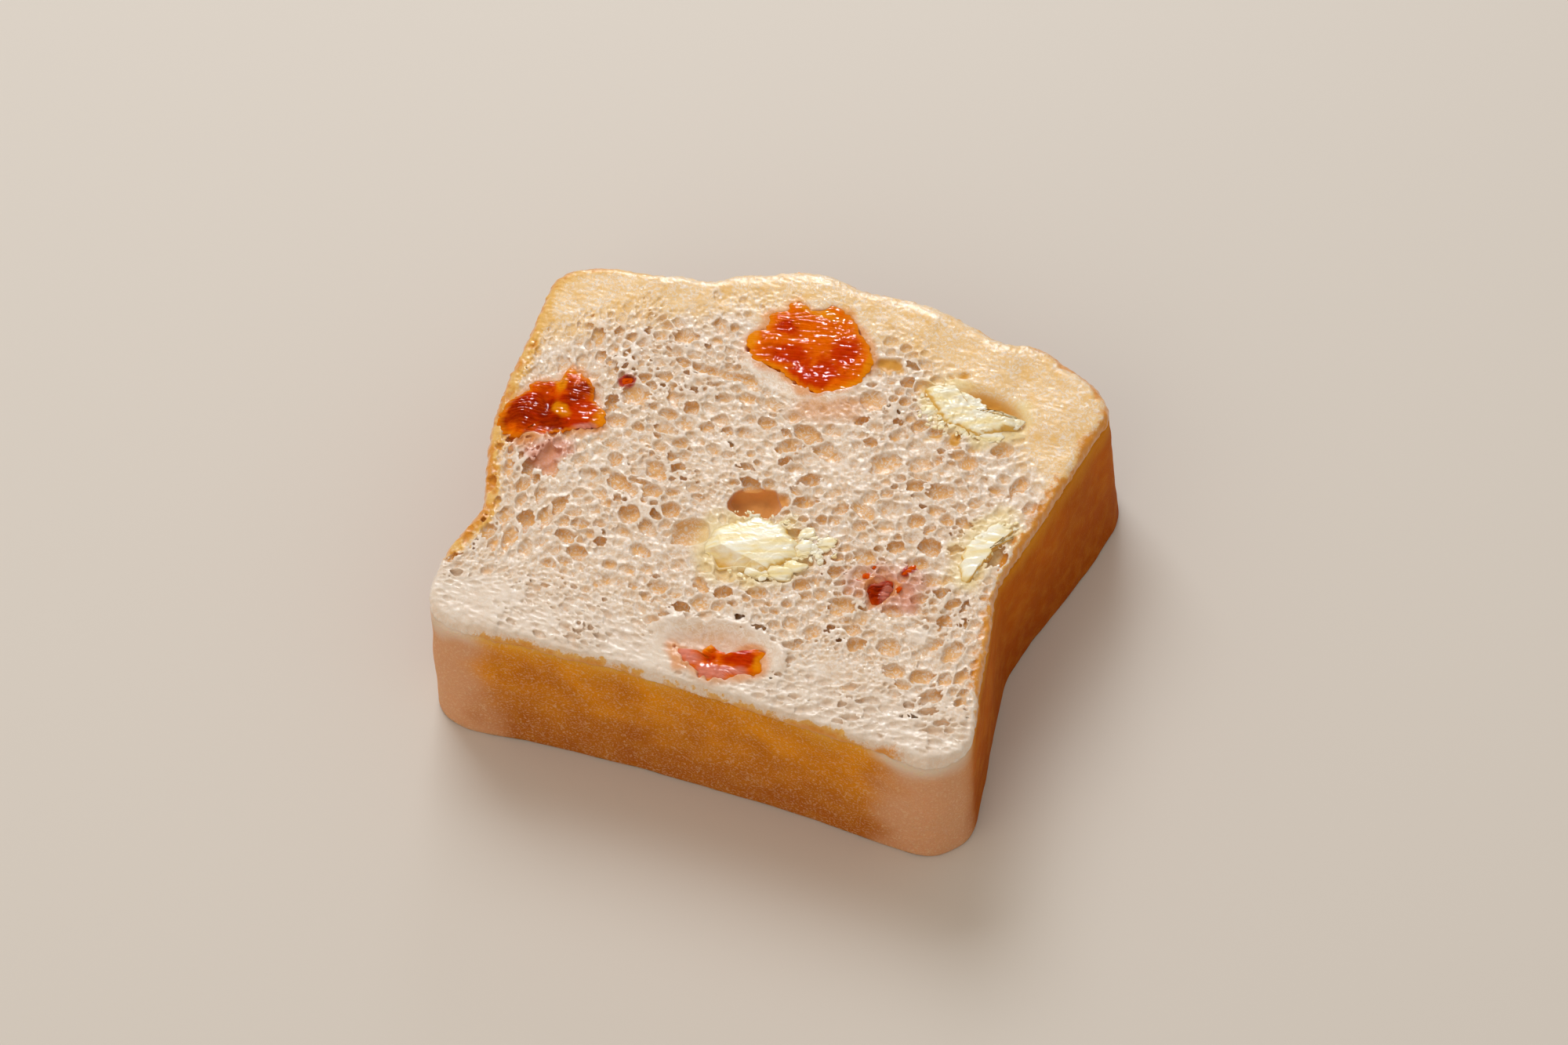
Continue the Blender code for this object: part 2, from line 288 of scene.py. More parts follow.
def rounded(points):
    """A closed outline with its corners cut twice."""
    for _ in range(2):
        ahead = np.roll(points, -1, axis=0)
        points = np.stack([0.75 * points + 0.25 * ahead, 0.25 * points + 0.75 * ahead], axis=1).reshape(-1, 2)
    return points


piece_loops = {name: rounded(np.array(points)) for name, points in OUTLINES.items()}
for name, loop in piece_loops.items():
    low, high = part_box(name)
    solid_middle = [round((low[k] + high[k]) / 2 / MM, 1) for k in (0, 1)]
    print(name, "middle", ((loop.min(0) + loop.max(0)) / 2).round(1), "solid", solid_middle)
    solid_size = [round((high[k] - low[k]) / MM, 1) for k in (0, 1)]
    print("    size", np.ptp(loop, axis=0).round(1), "solid", solid_size)

# %% [markdown]
# ## The crumb
#
# Bread crumb is a foam: bubbles of every size pressed against each other, with thin wet walls
# between them. A knife opens the bubbles it meets. Bump mapping can't show that, because one looks
# down into the bubbles and past their rims. So the crumb is a real mesh. It starts as numbers on a
# grid of small cubes that say how far each one is from the nearest wall, and OpenVDB, which comes
# with Blender, draws the surface where that distance is zero.

# %% Crumb settings, in millimetres
# The side of the small cubes, how deep the mesh goes, the space over the face, the walls between
# bubbles, the deepest pore, a distance that means no bubble is near, and the side of the bins
# that bubbles are sorted into, so that only near ones are compared.
UPPER_VOXEL, LOWER_VOXEL = 0.15, 0.38
UPPER_DEPTH, LOWER_DEPTH = 3.8, 3.2
HEADROOM = 1.0
WALL = 0.10
DEEPEST_PORE = 1.45
FAR = 9.0
BIN = 2.6
BUBBLE_CLASSES = (
    # half size, tries for each square centimetre of the face, how closely they crowd
    (1.5, 1.2, 1.16),
    (1.2, 5.0, 1.12),
    (0.92, 20.0, 1.06),
    (0.7, 60.0, 1.03),
    (0.52, 150.0, 1.0),
    (0.38, 320.0, 0.98),
    (0.27, 500.0, 0.98),
)
FLATNESS = 0.56
FACE_DOWN = 0.42
BASE_LINE = -36.5
# Where the dough stayed smooth: x, y, half length, half width, turn in degrees.
LENS = (1.6, -28.4, 9.8, 4.9, 8)
HOLLOW = (24.3, 21.9, 7.2, 2.7, -15)
MEMBRANE = (2.6, 14.2, 6.2, 2.5, 22)
SMOOTH_SPOTS = (
    LENS,
    (-3.4, 22.8, 10.8, 9.4, 0),
    (24.6, 22.4, 7.6, 3.6, -15),
)


def dome_line(x):
    """Where the dense band under the dome begins."""
    return 35.2 - 0.012 * (x + 2.1) ** 2


def spot_share(spot, x, y):
    """0 in the middle of a spot, 1 on its rim and more beyond."""
    spot_x, spot_y, half_length, half_width, turn = spot
    angle = math.radians(turn)
    along = ((x - spot_x) * math.cos(angle) + (y - spot_y) * math.sin(angle)) / half_length
    across = (-(x - spot_x) * math.sin(angle) + (y - spot_y) * math.cos(angle)) / half_width
    return np.sqrt(along**2 + across**2)


def openness_map(x, y, edge):
    """How large the bubbles grow: 0 in the dense bands by the base and the dome, 1 in the middle."""
    open_here = 0.3 + 0.7 * smooth_step(5.0, 19.0, y - BASE_LINE)
    drift = point_noise(np.column_stack([x.ravel() / 1.5, y.ravel()]), 5.0, 21).reshape(x.shape)
    drift += 0.7 * point_noise(np.column_stack([x.ravel(), y.ravel()]), 2.2, 22).reshape(x.shape)
    open_here = open_here * np.clip(0.74 + 0.5 * drift, 0.14, 1.1)
    open_here = open_here * smooth_step(0.1, 2.6, -edge)
    open_here = open_here * (0.05 + 0.95 * smooth_step(2.0, 10.5, dome_line(x) - y))
    for spot in SMOOTH_SPOTS:
        open_here = open_here * smooth_step(0.85, 1.12, spot_share(spot, x, y))
    return open_here


# %% [markdown]
# The bubbles are drawn at random, the largest first, and one that would crowd another is dropped.
# Each is an egg shape, flattened along the base, where the dough's weight pressed it, and drawn
# out along the side crusts.


# %% Draw the bubbles
def draw_bubbles(seed, openness, edge, axes, area):
    random = np.random.default_rng(seed)
    x, y = axes
    cells, found = {}, []
    for half, tries, crowd in BUBBLE_CLASSES:
        tries = int(tries * area / 100)
        px = random.uniform(x[0], x[-1], tries)
        py = random.uniform(y[0], y[-1], tries)
        size = half * random.uniform(0.84, 1.2, tries)
        sunk = random.uniform(-0.15, 0.8, tries) + 0.5 * (random.uniform(0, 1, tries) < 0.12)
        up = -FACE_DOWN - sunk * FLATNESS * size
        i = np.searchsorted(x, px).clip(0, len(x) - 1)
        j = np.searchsorted(y, py).clip(0, len(y) - 1)
        keep = (edge[i, j] < -(size * 0.9 + 0.25)) & (size < 0.10 + 2.1 * openness[i, j])
        for bubble in zip(px[keep], py[keep], up[keep], size[keep]):
            bx, by, bz, half_size = bubble
            key = (int(bx // BIN), int(by // BIN), int(bz // BIN))
            near = (
                (bx - ox) ** 2 + (by - oy) ** 2 + (bz - oz) ** 2 < (crowd * (half_size + other)) ** 2
                for di in (-1, 0, 1)
                for dj in (-1, 0, 1)
                for dk in (-1, 0, 1)
                for ox, oy, oz, other in cells.get((key[0] + di, key[1] + dj, key[2] + dk), ())
            )
            if not any(near):
                cells.setdefault(key, []).append(bubble)
                found.append(bubble)
    return found


def bubble_form(x, y, size):
    """The half sizes along, across and up, and the turn in radians, of a bubble at x, y."""
    flat = smooth_step(16.0, 5.0, y - BASE_LINE)
    by_side = smooth_step(24.0, 31.0, abs(x - 2)) * (1 - flat)
    own = math.sin(91.7 * x + 57.3 * y)
    stretch = 1.35 + 0.28 * own + 0.5 * flat + 0.4 * by_side
    turn = 0.25 * math.sin(x * 0.08) + 0.1 + 0.5 * math.sin(47.1 * x - 83.9 * y) * (1 - flat)
    turn = turn * (1 - by_side) + by_side * math.radians(80 if x > 0 else 98)
    return (size * stretch, size / (1 + 0.35 * flat), size * FLATNESS), turn


def stamp(fields, axes, voxel, centre, halves, turn, size):
    """Writes one bubble into the fields: how near the nearest and the second nearest bubbles are."""
    nearest, second, scale = fields
    reach = 1.45 * max(halves)
    spans, deltas = [], []
    for axis, middle in zip(axes, centre):
        first = max(0, int((middle - reach - axis[0]) / voxel))
        last = min(len(axis), int((middle + reach - axis[0]) / voxel) + 2)
        if first >= last:
            return
        spans.append(slice(first, last))
        deltas.append(axis[first:last] - middle)
    dx, dy, dz = deltas[0][:, None, None], deltas[1][None, :, None], deltas[2][None, None, :]
    along = (dx * math.cos(turn) + dy * math.sin(turn)) / halves[0]
    across = (-dx * math.sin(turn) + dy * math.cos(turn)) / halves[1]
    how_far = np.sqrt(along**2 + across**2 + (dz / halves[2]) ** 2).astype(np.float32)
    box = tuple(spans)
    closer = how_far < nearest[box]
    second[box] = np.where(closer, nearest[box], np.minimum(second[box], how_far))
    scale[box] = np.where(closer, size, scale[box])
    nearest[box] = np.where(closer, how_far, nearest[box])


# %% [markdown]
# A few holes in the photographed face are large enough to know again: a deep one behind the middle chunk of
# chocolate, a hollow at its left end, a slanting tunnel on the left and a long flat one behind the top fruit.
# These are listed one by one.

# %% Air holes, listed one by one, in millimetres
# At 2 they would be egg shapes. A little more makes them fuller, like bubbles that press on others.
BOXINESS = 2.4
# x, y, depth of the middle, half length, half width, half depth, turn in degrees
HOLES = (
    (-1.3, -4.2, 1.1, 3.7, 2.5, 2.3, 20),
    (-8.1, -11.7, 0.3, 2.8, 2.2, 1.9, 30),
    (8.0, 24.2, 0.2, 1.9, 1.2, 1.1, 0),
    (24.1, 11.9, 0.2, 1.5, 1.3, 1.2, 0),
    (21.1, 15.4, 0.2, 1.0, 0.8, 0.8, 70),
    (18.0, 14.2, 0.15, 1.7, 0.7, 0.8, 25),
    (14.4, 21.3, 0.2, 1.7, 0.8, 1.0, 10),
    (18.2, 25.8, 0.1, 1.6, 0.7, 0.8, 10),
    (6.8, 13.0, 0.2, 1.1, 0.9, 0.8, 60),
    (-27.1, -15.3, 0.0, 3.1, 0.8, 1.3, 72),
    (-23.8, -8.4, 0.0, 1.8, 1.1, 1.2, 60),
    (-14.0, 15.0, 0.1, 3.9, 0.8, 1.2, 4),
    (-25.9, 9.4, 0.1, 1.1, 0.8, 1.0, 30),
    (-31.6, -6.6, 0.2, 2.3, 1.0, 1.2, 80),
    (22.5, -14.6, 0.1, 1.5, 0.9, 1.1, 10),
    (12.9, -0.3, 0.1, 2.2, 1.2, 1.3, -25),
)


def hole_field(axes, stir):
    """Signed distance to the nearest hand-placed hole, negative in its air."""
    x, y, up = axes[0][:, None, None], axes[1][None, :, None], axes[2][None, None, :]
    air = np.full([len(axis) for axis in axes], FAR, np.float32)
    for hx, hy, depth, half_length, half_width, half_depth, turn in HOLES:
        angle = math.radians(turn)
        along = ((x - hx) * math.cos(angle) + (y - hy) * math.sin(angle)) / half_length
        across = (-(x - hx) * math.sin(angle) + (y - hy) * math.cos(angle)) / half_width
        shares = (along, across, (up + depth) / half_depth)
        inside = sum(np.abs(share) ** BOXINESS for share in shares) ** (1 / BOXINESS)
        air = np.minimum(air, (inside - 1) * min(half_length, half_width) + 0.16 * stir)
    return air


# %% [markdown]
# The solid part of the crumb is everything under the cut face, inside the crust and outside the
# bubbles. Where two of these meet, the edge is eased with a smooth maximum, because wet crumb has
# no sharp edges. Bubbles with no way up to the face can't be seen, so they are filled.


# %% The crumb's field
RIM_SHARE_DEPTH = 2.0


def rim_round(x, y):
    """The radius of the rim: broad along the base crust and the dome, tight at the sides."""
    return 0.8 + 1.0 * smooth_step(-32, -36, y) + 0.8 * smooth_step(24, 32, y)


def smooth_max(a, b, ease):
    return np.maximum(a, b) + np.maximum(ease - np.abs(a - b), 0) ** 2 / (4 * ease)


def reached_from_above(air):
    reached = np.zeros_like(air)
    reached[:, :, -1] = air[:, :, -1]
    count = 0
    while count != reached.sum():
        count = reached.sum()
        for _ in range(4):
            reached[:, :, :-1] |= reached[:, :, 1:]
            reached[:, :, 1:] |= reached[:, :, :-1]
            reached[1:] |= reached[:-1]
            reached[:-1] |= reached[1:]
            reached[:, 1:] |= reached[:, :-1]
            reached[:, :-1] |= reached[:, 1:]
            reached &= air
    return reached


def ridge(values):
    """Crests where smooth noise crosses zero, like the torn edges of a foam."""
    return 0.5 - np.abs(values)


def face_relief(axes, openness, seed):
    """How the knife left the face: gentle waves, torn crests where the crumb is open, fibres by the base."""
    x, y = np.meshgrid(*axes, indexing="ij")
    loose = smooth_step(0.02, 0.45, openness)
    fibrous = smooth_step(15.0, 6.0, y - BASE_LINE)
    relief = 0.15 * grid_noise(axes, 5.5, seed)
    relief += (0.02 + 0.12 * loose) * ridge(grid_noise(axes, 1.7, seed + 1))
    relief += (0.01 + 0.07 * loose) * ridge(grid_noise(axes, 0.85, seed + 2))
    relief += (0.01 + 0.04 * loose) * ridge(grid_noise(axes, 0.45, seed + 3))
    fibres = grid_noise((axes[0] / 2.2, axes[1]), 0.6, seed + 4)
    by_dome = smooth_step(9.0, 4.0, dome_line(x) - y)
    streaks = grid_noise((axes[0] / 2.5, axes[1]), 0.55, seed + 5)
    grains = 0.03 * grid_noise(axes, 1.5, seed + 6) + 0.02 * grid_noise(axes, 0.45, seed + 7)
    return relief + 0.09 * fibrous * ridge(fibres) + by_dome * (0.04 * ridge(streaks) + grains)


def crumb_field(axes, voxel, edge, openness, lowered, seed, with_holes):
    """Signed distance to the crumb's surface, negative in the crumb itself."""
    shape = tuple(len(axis) for axis in axes)
    fields = [np.full(shape, value, np.float32) for value in (FAR, FAR, 1.0)]
    area = (axes[0][-1] - axes[0][0]) * (axes[1][-1] - axes[1][0])
    bubbles = draw_bubbles(seed, openness, edge, axes[:2], area)
    for bx, by, bz, size in bubbles:
        halves, turn = bubble_form(bx, by, size)
        stamp(fields, axes, voxel, (bx, by, bz), halves, turn, size)
    nearest, second, scale = fields
    broken = 0.32 * smooth_step(0.25, 0.9, grid_noise(axes, 1.7, seed + 1))
    wall = WALL - broken - (second - nearest) * scale * 0.5
    uneven = 0.16 * grid_noise(axes, 0.9, seed + 9) + 0.08 * grid_noise(axes, 0.45, seed + 10)
    air = np.maximum((nearest - 1.05) * scale + uneven, wall)
    x, y = np.meshgrid(*axes[:2], indexing="ij")
    face = face_relief(axes[:2], openness, seed + 3) - FACE_DOWN - lowered
    up = axes[2][None, None, :]
    air = np.maximum(air, face[:, :, None] - up - DEEPEST_PORE + 0.2 * grid_noise(axes, 1.3, seed + 13))
    tuck = 0.7 * smooth_step(-RIM_SHARE_DEPTH, -RIM_SHARE_DEPTH - 1.2, up)
    rough = 0.08 * grid_noise(axes, 0.9, seed + 11) + 0.06 * grid_noise(axes, 0.45, seed + 12)
    beyond = edge[:, :, None] + tuck + rough
    solid = smooth_max(up - face[:, :, None], beyond, 2.2 * rim_round(x, y)[:, :, None])
    solid = smooth_max(solid, -air, 0.3)
    if with_holes:
        solid = smooth_max(solid, -hole_field(axes, grid_noise(axes, 1.3, seed + 2)), 0.1)
    solid = np.minimum(solid, np.maximum(up - axes[2][0] - 0.6, beyond + 0.3))
    print("bubbles:", len(bubbles), "grid:", shape)
    return solid.astype(np.float32), face


def filled(solid):
    """The same field without the bubbles that nothing opens."""
    hidden = (solid > 0) & ~reached_from_above(solid > 0)
    return np.where(hidden, -np.abs(solid), solid)


# %% [markdown]
# OpenVDB turns the field into a mesh. A mesh this fine has far more faces than one piece should
# hold, so it is shared out in strips from left to right. The strips keep the normals of the whole
# surface, so no seam shows between them. Each point also stores a few masks, from 0 to 1, that the
# materials colour: how deep it lies, how close the crust is, and where fruit or chocolate has
# stained the crumb.


# %% From field to mesh
def surface_of(solid, axes, voxel):
    """Points in millimetres and four-cornered faces that point out of the crumb."""
    grid = openvdb.FloatGrid(3 * voxel)
    grid.copyFromArray(np.clip(solid, -3 * voxel, 3 * voxel).astype(np.float32))
    grid.gridClass = openvdb.GridClass.LEVEL_SET
    grid.transform = openvdb.createLinearTransform(voxelSize=voxel)
    points, _, quads = grid.convertToPolygons(isovalue=0.0, adaptivity=0.0)
    points = points + np.array([axis[0] for axis in axes])
    return points, quads[:, ::-1]


def normals_of(points, quads):
    corner = points[quads]
    face_normals = np.cross(corner[:, 2] - corner[:, 0], corner[:, 3] - corner[:, 1])
    normals = np.zeros_like(points)
    for k in range(4):
        for axis in range(3):
            normals[:, axis] += np.bincount(quads[:, k], face_normals[:, axis], len(points))
    return normals / (np.linalg.norm(normals, axis=1, keepdims=True) + 1e-12)


def sample(grid, axes, points):
    """Values of a grid over x and y at points, blended between its corners."""
    at = [(points[:, k] - axes[k][0]) / (axes[k][1] - axes[k][0]) for k in (0, 1)]
    first = [np.clip(a.astype(int), 0, len(axis) - 2) for a, axis in zip(at, axes)]
    u, v = (np.clip(a - f, 0, 1) for a, f in zip(at, first))
    i, j = first
    low = grid[i, j] * (1 - u) + grid[i + 1, j] * u
    high = grid[i, j + 1] * (1 - u) + grid[i + 1, j + 1] * u
    return low * (1 - v) + high * v


def mesh_piece(name, points, faces, normals=None, masks=None, material=None):
    """A smooth object from points in millimetres."""
    mesh = bpy.data.meshes.new(name)
    mesh.vertices.add(len(points))
    mesh.vertices.foreach_set("co", (points * MM).astype(np.float32).ravel())
    mesh.loops.add(faces.size)
    mesh.loops.foreach_set("vertex_index", faces.astype(np.int32).ravel())
    mesh.polygons.add(len(faces))
    mesh.polygons.foreach_set("loop_start", np.arange(0, faces.size, faces.shape[1], dtype=np.int32))
    mesh.update(calc_edges=True)
    mesh.shade_smooth()
    for key, values in (masks or {}).items():
        attribute = mesh.attributes.new(key, "FLOAT", "POINT")
        attribute.data.foreach_set("value", values.astype(np.float32))
    if normals is not None:
        mesh.normals_split_custom_set_from_vertices(normals.astype(np.float32))
    piece = bpy.data.objects.new(name, mesh)
    bpy.context.scene.collection.objects.link(piece)
    if material:
        mesh.materials.append(material)
    return piece


MOST_FACES = 90_000


def share_out(name, points, quads, masks, material):
    """Strips from left to right, each with few enough faces, that keep the whole surface's normals."""
    normals = normals_of(points, quads)
    across = points[quads[:, 0], 0]
    count = math.ceil(len(quads) / MOST_FACES)
    order = np.argsort(across, kind="stable")
    strips = []
    for number, chosen in enumerate(np.array_split(order, count), start=1):
        used, faces = np.unique(quads[chosen], return_inverse=True)
        strip = mesh_piece(
            f"{name}_{number}",
            points[used],
            faces.reshape(-1, 4),
            normals[used],
            {key: values[used] for key, values in masks.items()},
            material,
        )
        strips.append(strip)
    print(name, "faces:", len(quads), "strips:", count)
    return strips


# %% [markdown]
# The crumb isn't one colour. It is golden by the crust and under the dome, stained by the juice of the fruit
# and buttery round the chocolate. White on its torn crests is a painted highlight, tan inside its pores and
# in the deep hole behind the middle chunk is painted shade, and an orange glow at one end of that hole is
# painted light. Each of these is a mask from 0 to 1, stored on the mesh's own points, because a pattern drawn
# by the material alone couldn't know where they are.

# %% Places that are given their colour one by one: x, y, half length, half width, turn
# The first two places hold painted shade deep in the hole behind the middle chunk and a painted glow at one
# end of it.
TUNNEL = (-1.3, -4.2, 3.7, 2.5, 20)
TUNNEL_GLOW = (-3.2, -6.6, 1.9, 1.1, 20)
GOLDEN_PORES = (
    (8.0, 24.2, 1.9, 1.2, 0),
    (21.1, 15.4, 1.0, 0.8, 70),
    (18.0, 14.2, 1.7, 0.7, 25),
    (18.2, 25.8, 1.6, 0.7, 10),
)
# Each of these also says how far out its colour is full, and a blush how much noise stirs its edge.
RED_FLECKS = (((-25.9, 9.4, 1.3, 1.1, 30), 0.8), ((22.2, -7.6, 1.3, 0.7, 50), 0.7))
BLUSHES = (((-31.4, -5.6, 3.6, 3.2, 60), 0.5, 0.15), ((20.6, -11.2, 5.6, 4.4, 20), 0.3, 0.2))
STAIN_REACH = {"apricot_top": 1.4, "apricot_left": 1.5, "apricot_right": 0.8, "apricot_bottom": 1.3}
BUTTER_REACH = 3.0


# %% Volumes, blurred and read at points
def blurred(values, reach):
    """The mean of each value's neighbours, taken twice, in a box that reaches this many steps."""
    for _ in range(2):
        for axis in range(3):
            width = [(0, 0)] * 3
            width[axis] = (reach + 1, reach)
            total = np.cumsum(np.pad(values, width, mode="edge"), axis=axis, dtype=np.float64)
            count = values.shape[axis]
            far = np.take(total, np.arange(2 * reach + 1, 2 * reach + 1 + count), axis=axis)
            values = (far - np.take(total, np.arange(count), axis=axis)) / (2 * reach + 1)
            values = values.astype(np.float32)
    return values


def sample_volume(volume, axes, points):
    """Values of a volume at points, taken from the nearest grid place."""
    at = [np.rint((points[:, k] - axes[k][0]) / (axes[k][1] - axes[k][0])).astype(int) for k in range(3)]
    i, j, k = (np.clip(a, 0, n - 1) for a, n in zip(at, volume.shape))
    return volume[i, j, k]


# %% How baked the bread is
def baked_share(x, y, up, stir):
    """How far the colour has turned to crust, going down from the rim: 0 on the face, 1 on the wall."""
    side = np.maximum(smooth_step(24, 31, x), smooth_step(-30, -37, x))
    return smooth_step(-0.15 - 0.35 * (1 - side), -1.3 - 1.9 * (1 - side), up + 0.35 * stir)


def unbaked_corner(x, y):
    """1 at both ends of the base crust, where the dough stayed off the tin."""
    return smooth_step(-24, -29, y) * np.maximum(smooth_step(-27, -33, x), smooth_step(27, 33, x))


def rim_mask(x, y, inward):
    """How baked the crumb is by the crust: a wide golden band at the left, a thin one elsewhere."""
    left = smooth_step(-24, -36, x) * smooth_step(-33, -28, y)
    width = 1.2 + 2.6 * left
    return smooth_step(width, 0.1, inward) * (1 - unbaked_corner(x, y))


# %% The crumb's masks
def near_pieces(names, reach, stir_share, points, axes, piece_gap, stir):
    """1 at the edge of any of these pieces, fading out over their reach."""
    total = np.zeros(len(points))
    for name in names:
        gap = sample(piece_gap[name], axes, points) + stir_share * stir
        total = np.maximum(total, smooth_step(reach[name][0], reach[name][1], gap))
    return total


def crumb_masks(points, up, below, axes, edge, piece_gap, filled_share):
    x, y = points[:, 0], points[:, 1]
    inward = -sample(edge, axes, points)
    stir = point_noise(points, 2.2, 31)
    fine = point_noise(points, 0.6, 32)
    dome = smooth_step(10.5, 3.5, dome_line(x) - y + 1.4 * stir)
    stain_reach = {name: (STAIN_REACH[name], -0.2) for name in APRICOTS}
    butter_reach = {name: (BUTTER_REACH, 0.2) for name in CHOCOLATES}
    stain = near_pieces(APRICOTS, stain_reach, 0.6, points, axes, piece_gap, stir)
    butter = near_pieces(CHOCOLATES, butter_reach, 0.8, points, axes, piece_gap, stir)
    in_membrane = smooth_step(1.25, 0.45, spot_share(MEMBRANE, x, y) + 0.15 * stir)
    stain = np.maximum(0.75 * stain, 0.5 * in_membrane)
    hollow = smooth_step(1.0, 0.35, spot_share(HOLLOW, x, y)) * smooth_step(-0.3, -1.1, up)
    for spot in GOLDEN_PORES:
        in_pore = smooth_step(1.3, 1.0, spot_share(spot, x, y)) * smooth_step(0.1, 0.6, below)
        hollow = np.maximum(hollow, in_pore)
    # Painted shade deep in the hole behind the middle chunk, and a painted glow at one end of it.
    tunnel_shade = smooth_step(1.35, 1.1, spot_share(TUNNEL, x, y)) * smooth_step(0.25, 0.8, below)
    tunnel_glow = smooth_step(1.2, 0.6, spot_share(TUNNEL_GLOW, x, y)) * smooth_step(0.6, 1.4, below)
    lens = spot_share(LENS, x, y) + 0.03 * stir
    lens_ring = np.exp(-(((lens - 0.97) / 0.16) ** 2)) * smooth_step(-30.0, -26.5, y)
    tan = smooth_step(0.85, 0.35, lens) * smooth_step(-31.5, -28.5, y)
    by_base = 0.65 * smooth_step(13.0, 6.0, y - BASE_LINE + 1.5 * stir)
    fleck = np.zeros(len(points))
    for spot, full in RED_FLECKS:
        fleck = np.maximum(fleck, smooth_step(1.2, full, spot_share(spot, x, y)))
    blush = np.zeros(len(points))
    for spot, full, stirred in BLUSHES:
        blush = np.maximum(blush, smooth_step(1.2, full, spot_share(spot, x, y) + stirred * stir))
    # A painted highlight on the torn crests, where little crumb is near; the band by the base and the ring
    # round the lens are paler crumb.
    crest_highlight = (0.44 - filled_share) * 3.5 * smooth_step(0.7, 0.1, below)
    browned = baked_share(x, y, up, stir + 0.4 * fine) * smooth_step(2.6, 1.2, inward)
    return {
        # hollow is painted shade: tan, and warmer still, the deeper a point lies and the more crumb is round
        # it.
        "hollow": np.clip(0.9 * smooth_step(0.12, 0.85, below) + (filled_share - 0.58) * 1.5, 0, 1),
        "paleness_and_highlight": np.clip(np.maximum.reduce([crest_highlight, 0.6 * lens_ring, by_base]), 0, 1),
        "tunnel_shade": tunnel_shade,
        "tunnel_glow": tunnel_glow,
        "rim": rim_mask(x, y, inward + 0.35 * stir + 0.25 * fine),
        "baked": browned * (1 - unbaked_corner(x, y)),
        "dome": dome,
        "stain": np.maximum(stain, 0.3 * tan) * (1 - 0.8 * lens_ring),
        "blush": blush,
        "butter": np.maximum(butter, hollow),
        "golden_hollow": hollow,
        "fleck": fleck * smooth_step(0.0, -0.5, up),
    }


# %% [markdown]
# Bread crumb is gelled starch: off-white, wet enough to glint on the strands that the knife leaves, and
# translucent, so that light bleeds a millimetre or so into its thin walls. It looks browner inside its pores,
# where light has gone through more of it. Light inside the material does a part of that, and the rest is
# painted shade, picked by the masks. A pattern of cells 1.4 mm wide adds faint bubbles that are too shallow
# to model, as painted shade in their middles and a painted highlight on their edges.

# %% Crumb material
# Broad soft shine from the gel, small sharp glints from the wet strands, and a pale bloom where
# the surface turns away.
RIM_YELLOW, RIM_GOLD = "#ecb95e", "#e0901c"
CRUMB_MASKS = ("hollow", "paleness_and_highlight", "tunnel_shade", "tunnel_glow", "rim", "baked")
CRUMB_MASKS += ("dome", "stain", "blush", "butter", "golden_hollow", "fleck")
crumb, shader = new_material(
    "bread_crumb",
    Roughness=0.36,
    IOR=1.45,
    Subsurface_Weight=0.3,
    Subsurface_Scale=MM,
    Subsurface_Radius=(0.6, 0.56, 0.5),
    Sheen_Weight=0.35,
    Sheen_Roughness=0.5,
    Coat_Roughness=0.07,
)
shader.subsurface_method = "BURLEY"
place = add(crumb, "ShaderNodeTexCoord").outputs["Object"]
on = {key: add(crumb, "ShaderNodeAttribute", attribute_name=key).outputs["Fac"] for key in CRUMB_MASKS}
print("crumb masks:", len(on))

# %% Patterns in the crumb
# The wisps are a white film of starch with painted glints among them.
# Name, width of its patches in millimetres, detail and distortion.
CRUMB_NOISES = (("mottle", 2.5, 3.0, 0.0), ("grain", 0.28, 3.0, 0.6), ("wisps_and_painted_glints", 0.7, 6.0, 2.0))
noise = {}
for name, width, detail, distortion in CRUMB_NOISES:
    settings = {"Scale": 1 / (width * MM), "Detail": detail, "Distortion": distortion}
    noise[name] = add(crumb, "ShaderNodeTexNoise", [("Vector", place)], **settings).outputs["Fac"]
warp = add(crumb, "ShaderNodeTexNoise", [("Vector", place)], Scale=1 / (1.1 * MM), Detail=2.0)
shift = add(crumb, "ShaderNodeVectorMath", [(0, warp.outputs["Color"])], operation="SCALE", Scale=0.9 * MM)
bent = add(crumb, "ShaderNodeVectorMath", [(0, place), (1, shift.outputs[0])], operation="ADD")
cells = {"feature": "DISTANCE_TO_EDGE", "Scale": 1 / (1.4 * MM)}
foam = add(crumb, "ShaderNodeTexVoronoi", [("Vector", bent.outputs[0])], **cells).outputs["Distance"]
loose = add(crumb, "ShaderNodeMapRange", [("Value", on["dome"])], To_Min=1.0, To_Max=0.0).outputs[0]
# The cells are painted bubbles: painted shade in their middles and a painted highlight on their edges.
shallow = {}
for part, edge, middle, strength in (("pool_shade", 0.1, 0.36, 0.45), ("wall_highlight", 0.1, 0.02, 0.4)):
    span = {"From_Min": edge, "From_Max": middle, "To_Max": strength}
    share = add(crumb, "ShaderNodeMapRange", [("Value", foam)], **span)
    share = add(crumb, "ShaderNodeMath", [(0, share.outputs[0]), (1, loose)], operation="MULTIPLY")
    shallow[part] = share.outputs[0]
span = {"From_Min": 0.54, "From_Max": 0.68, "To_Max": 0.7}
patches = add(crumb, "ShaderNodeMapRange", [("Value", noise["mottle"])], **span).outputs[0]
gold = add(crumb, "ShaderNodeMath", [(0, patches), (1, on["dome"])], operation="MULTIPLY")
ragged_rim = add(crumb, "ShaderNodeMath", [(0, on["rim"]), (1, noise["grain"])], operation="ADD")
ragged_bake = add(crumb, "ShaderNodeMath", [(0, on["baked"]), (1, noise["grain"])], operation="ADD")
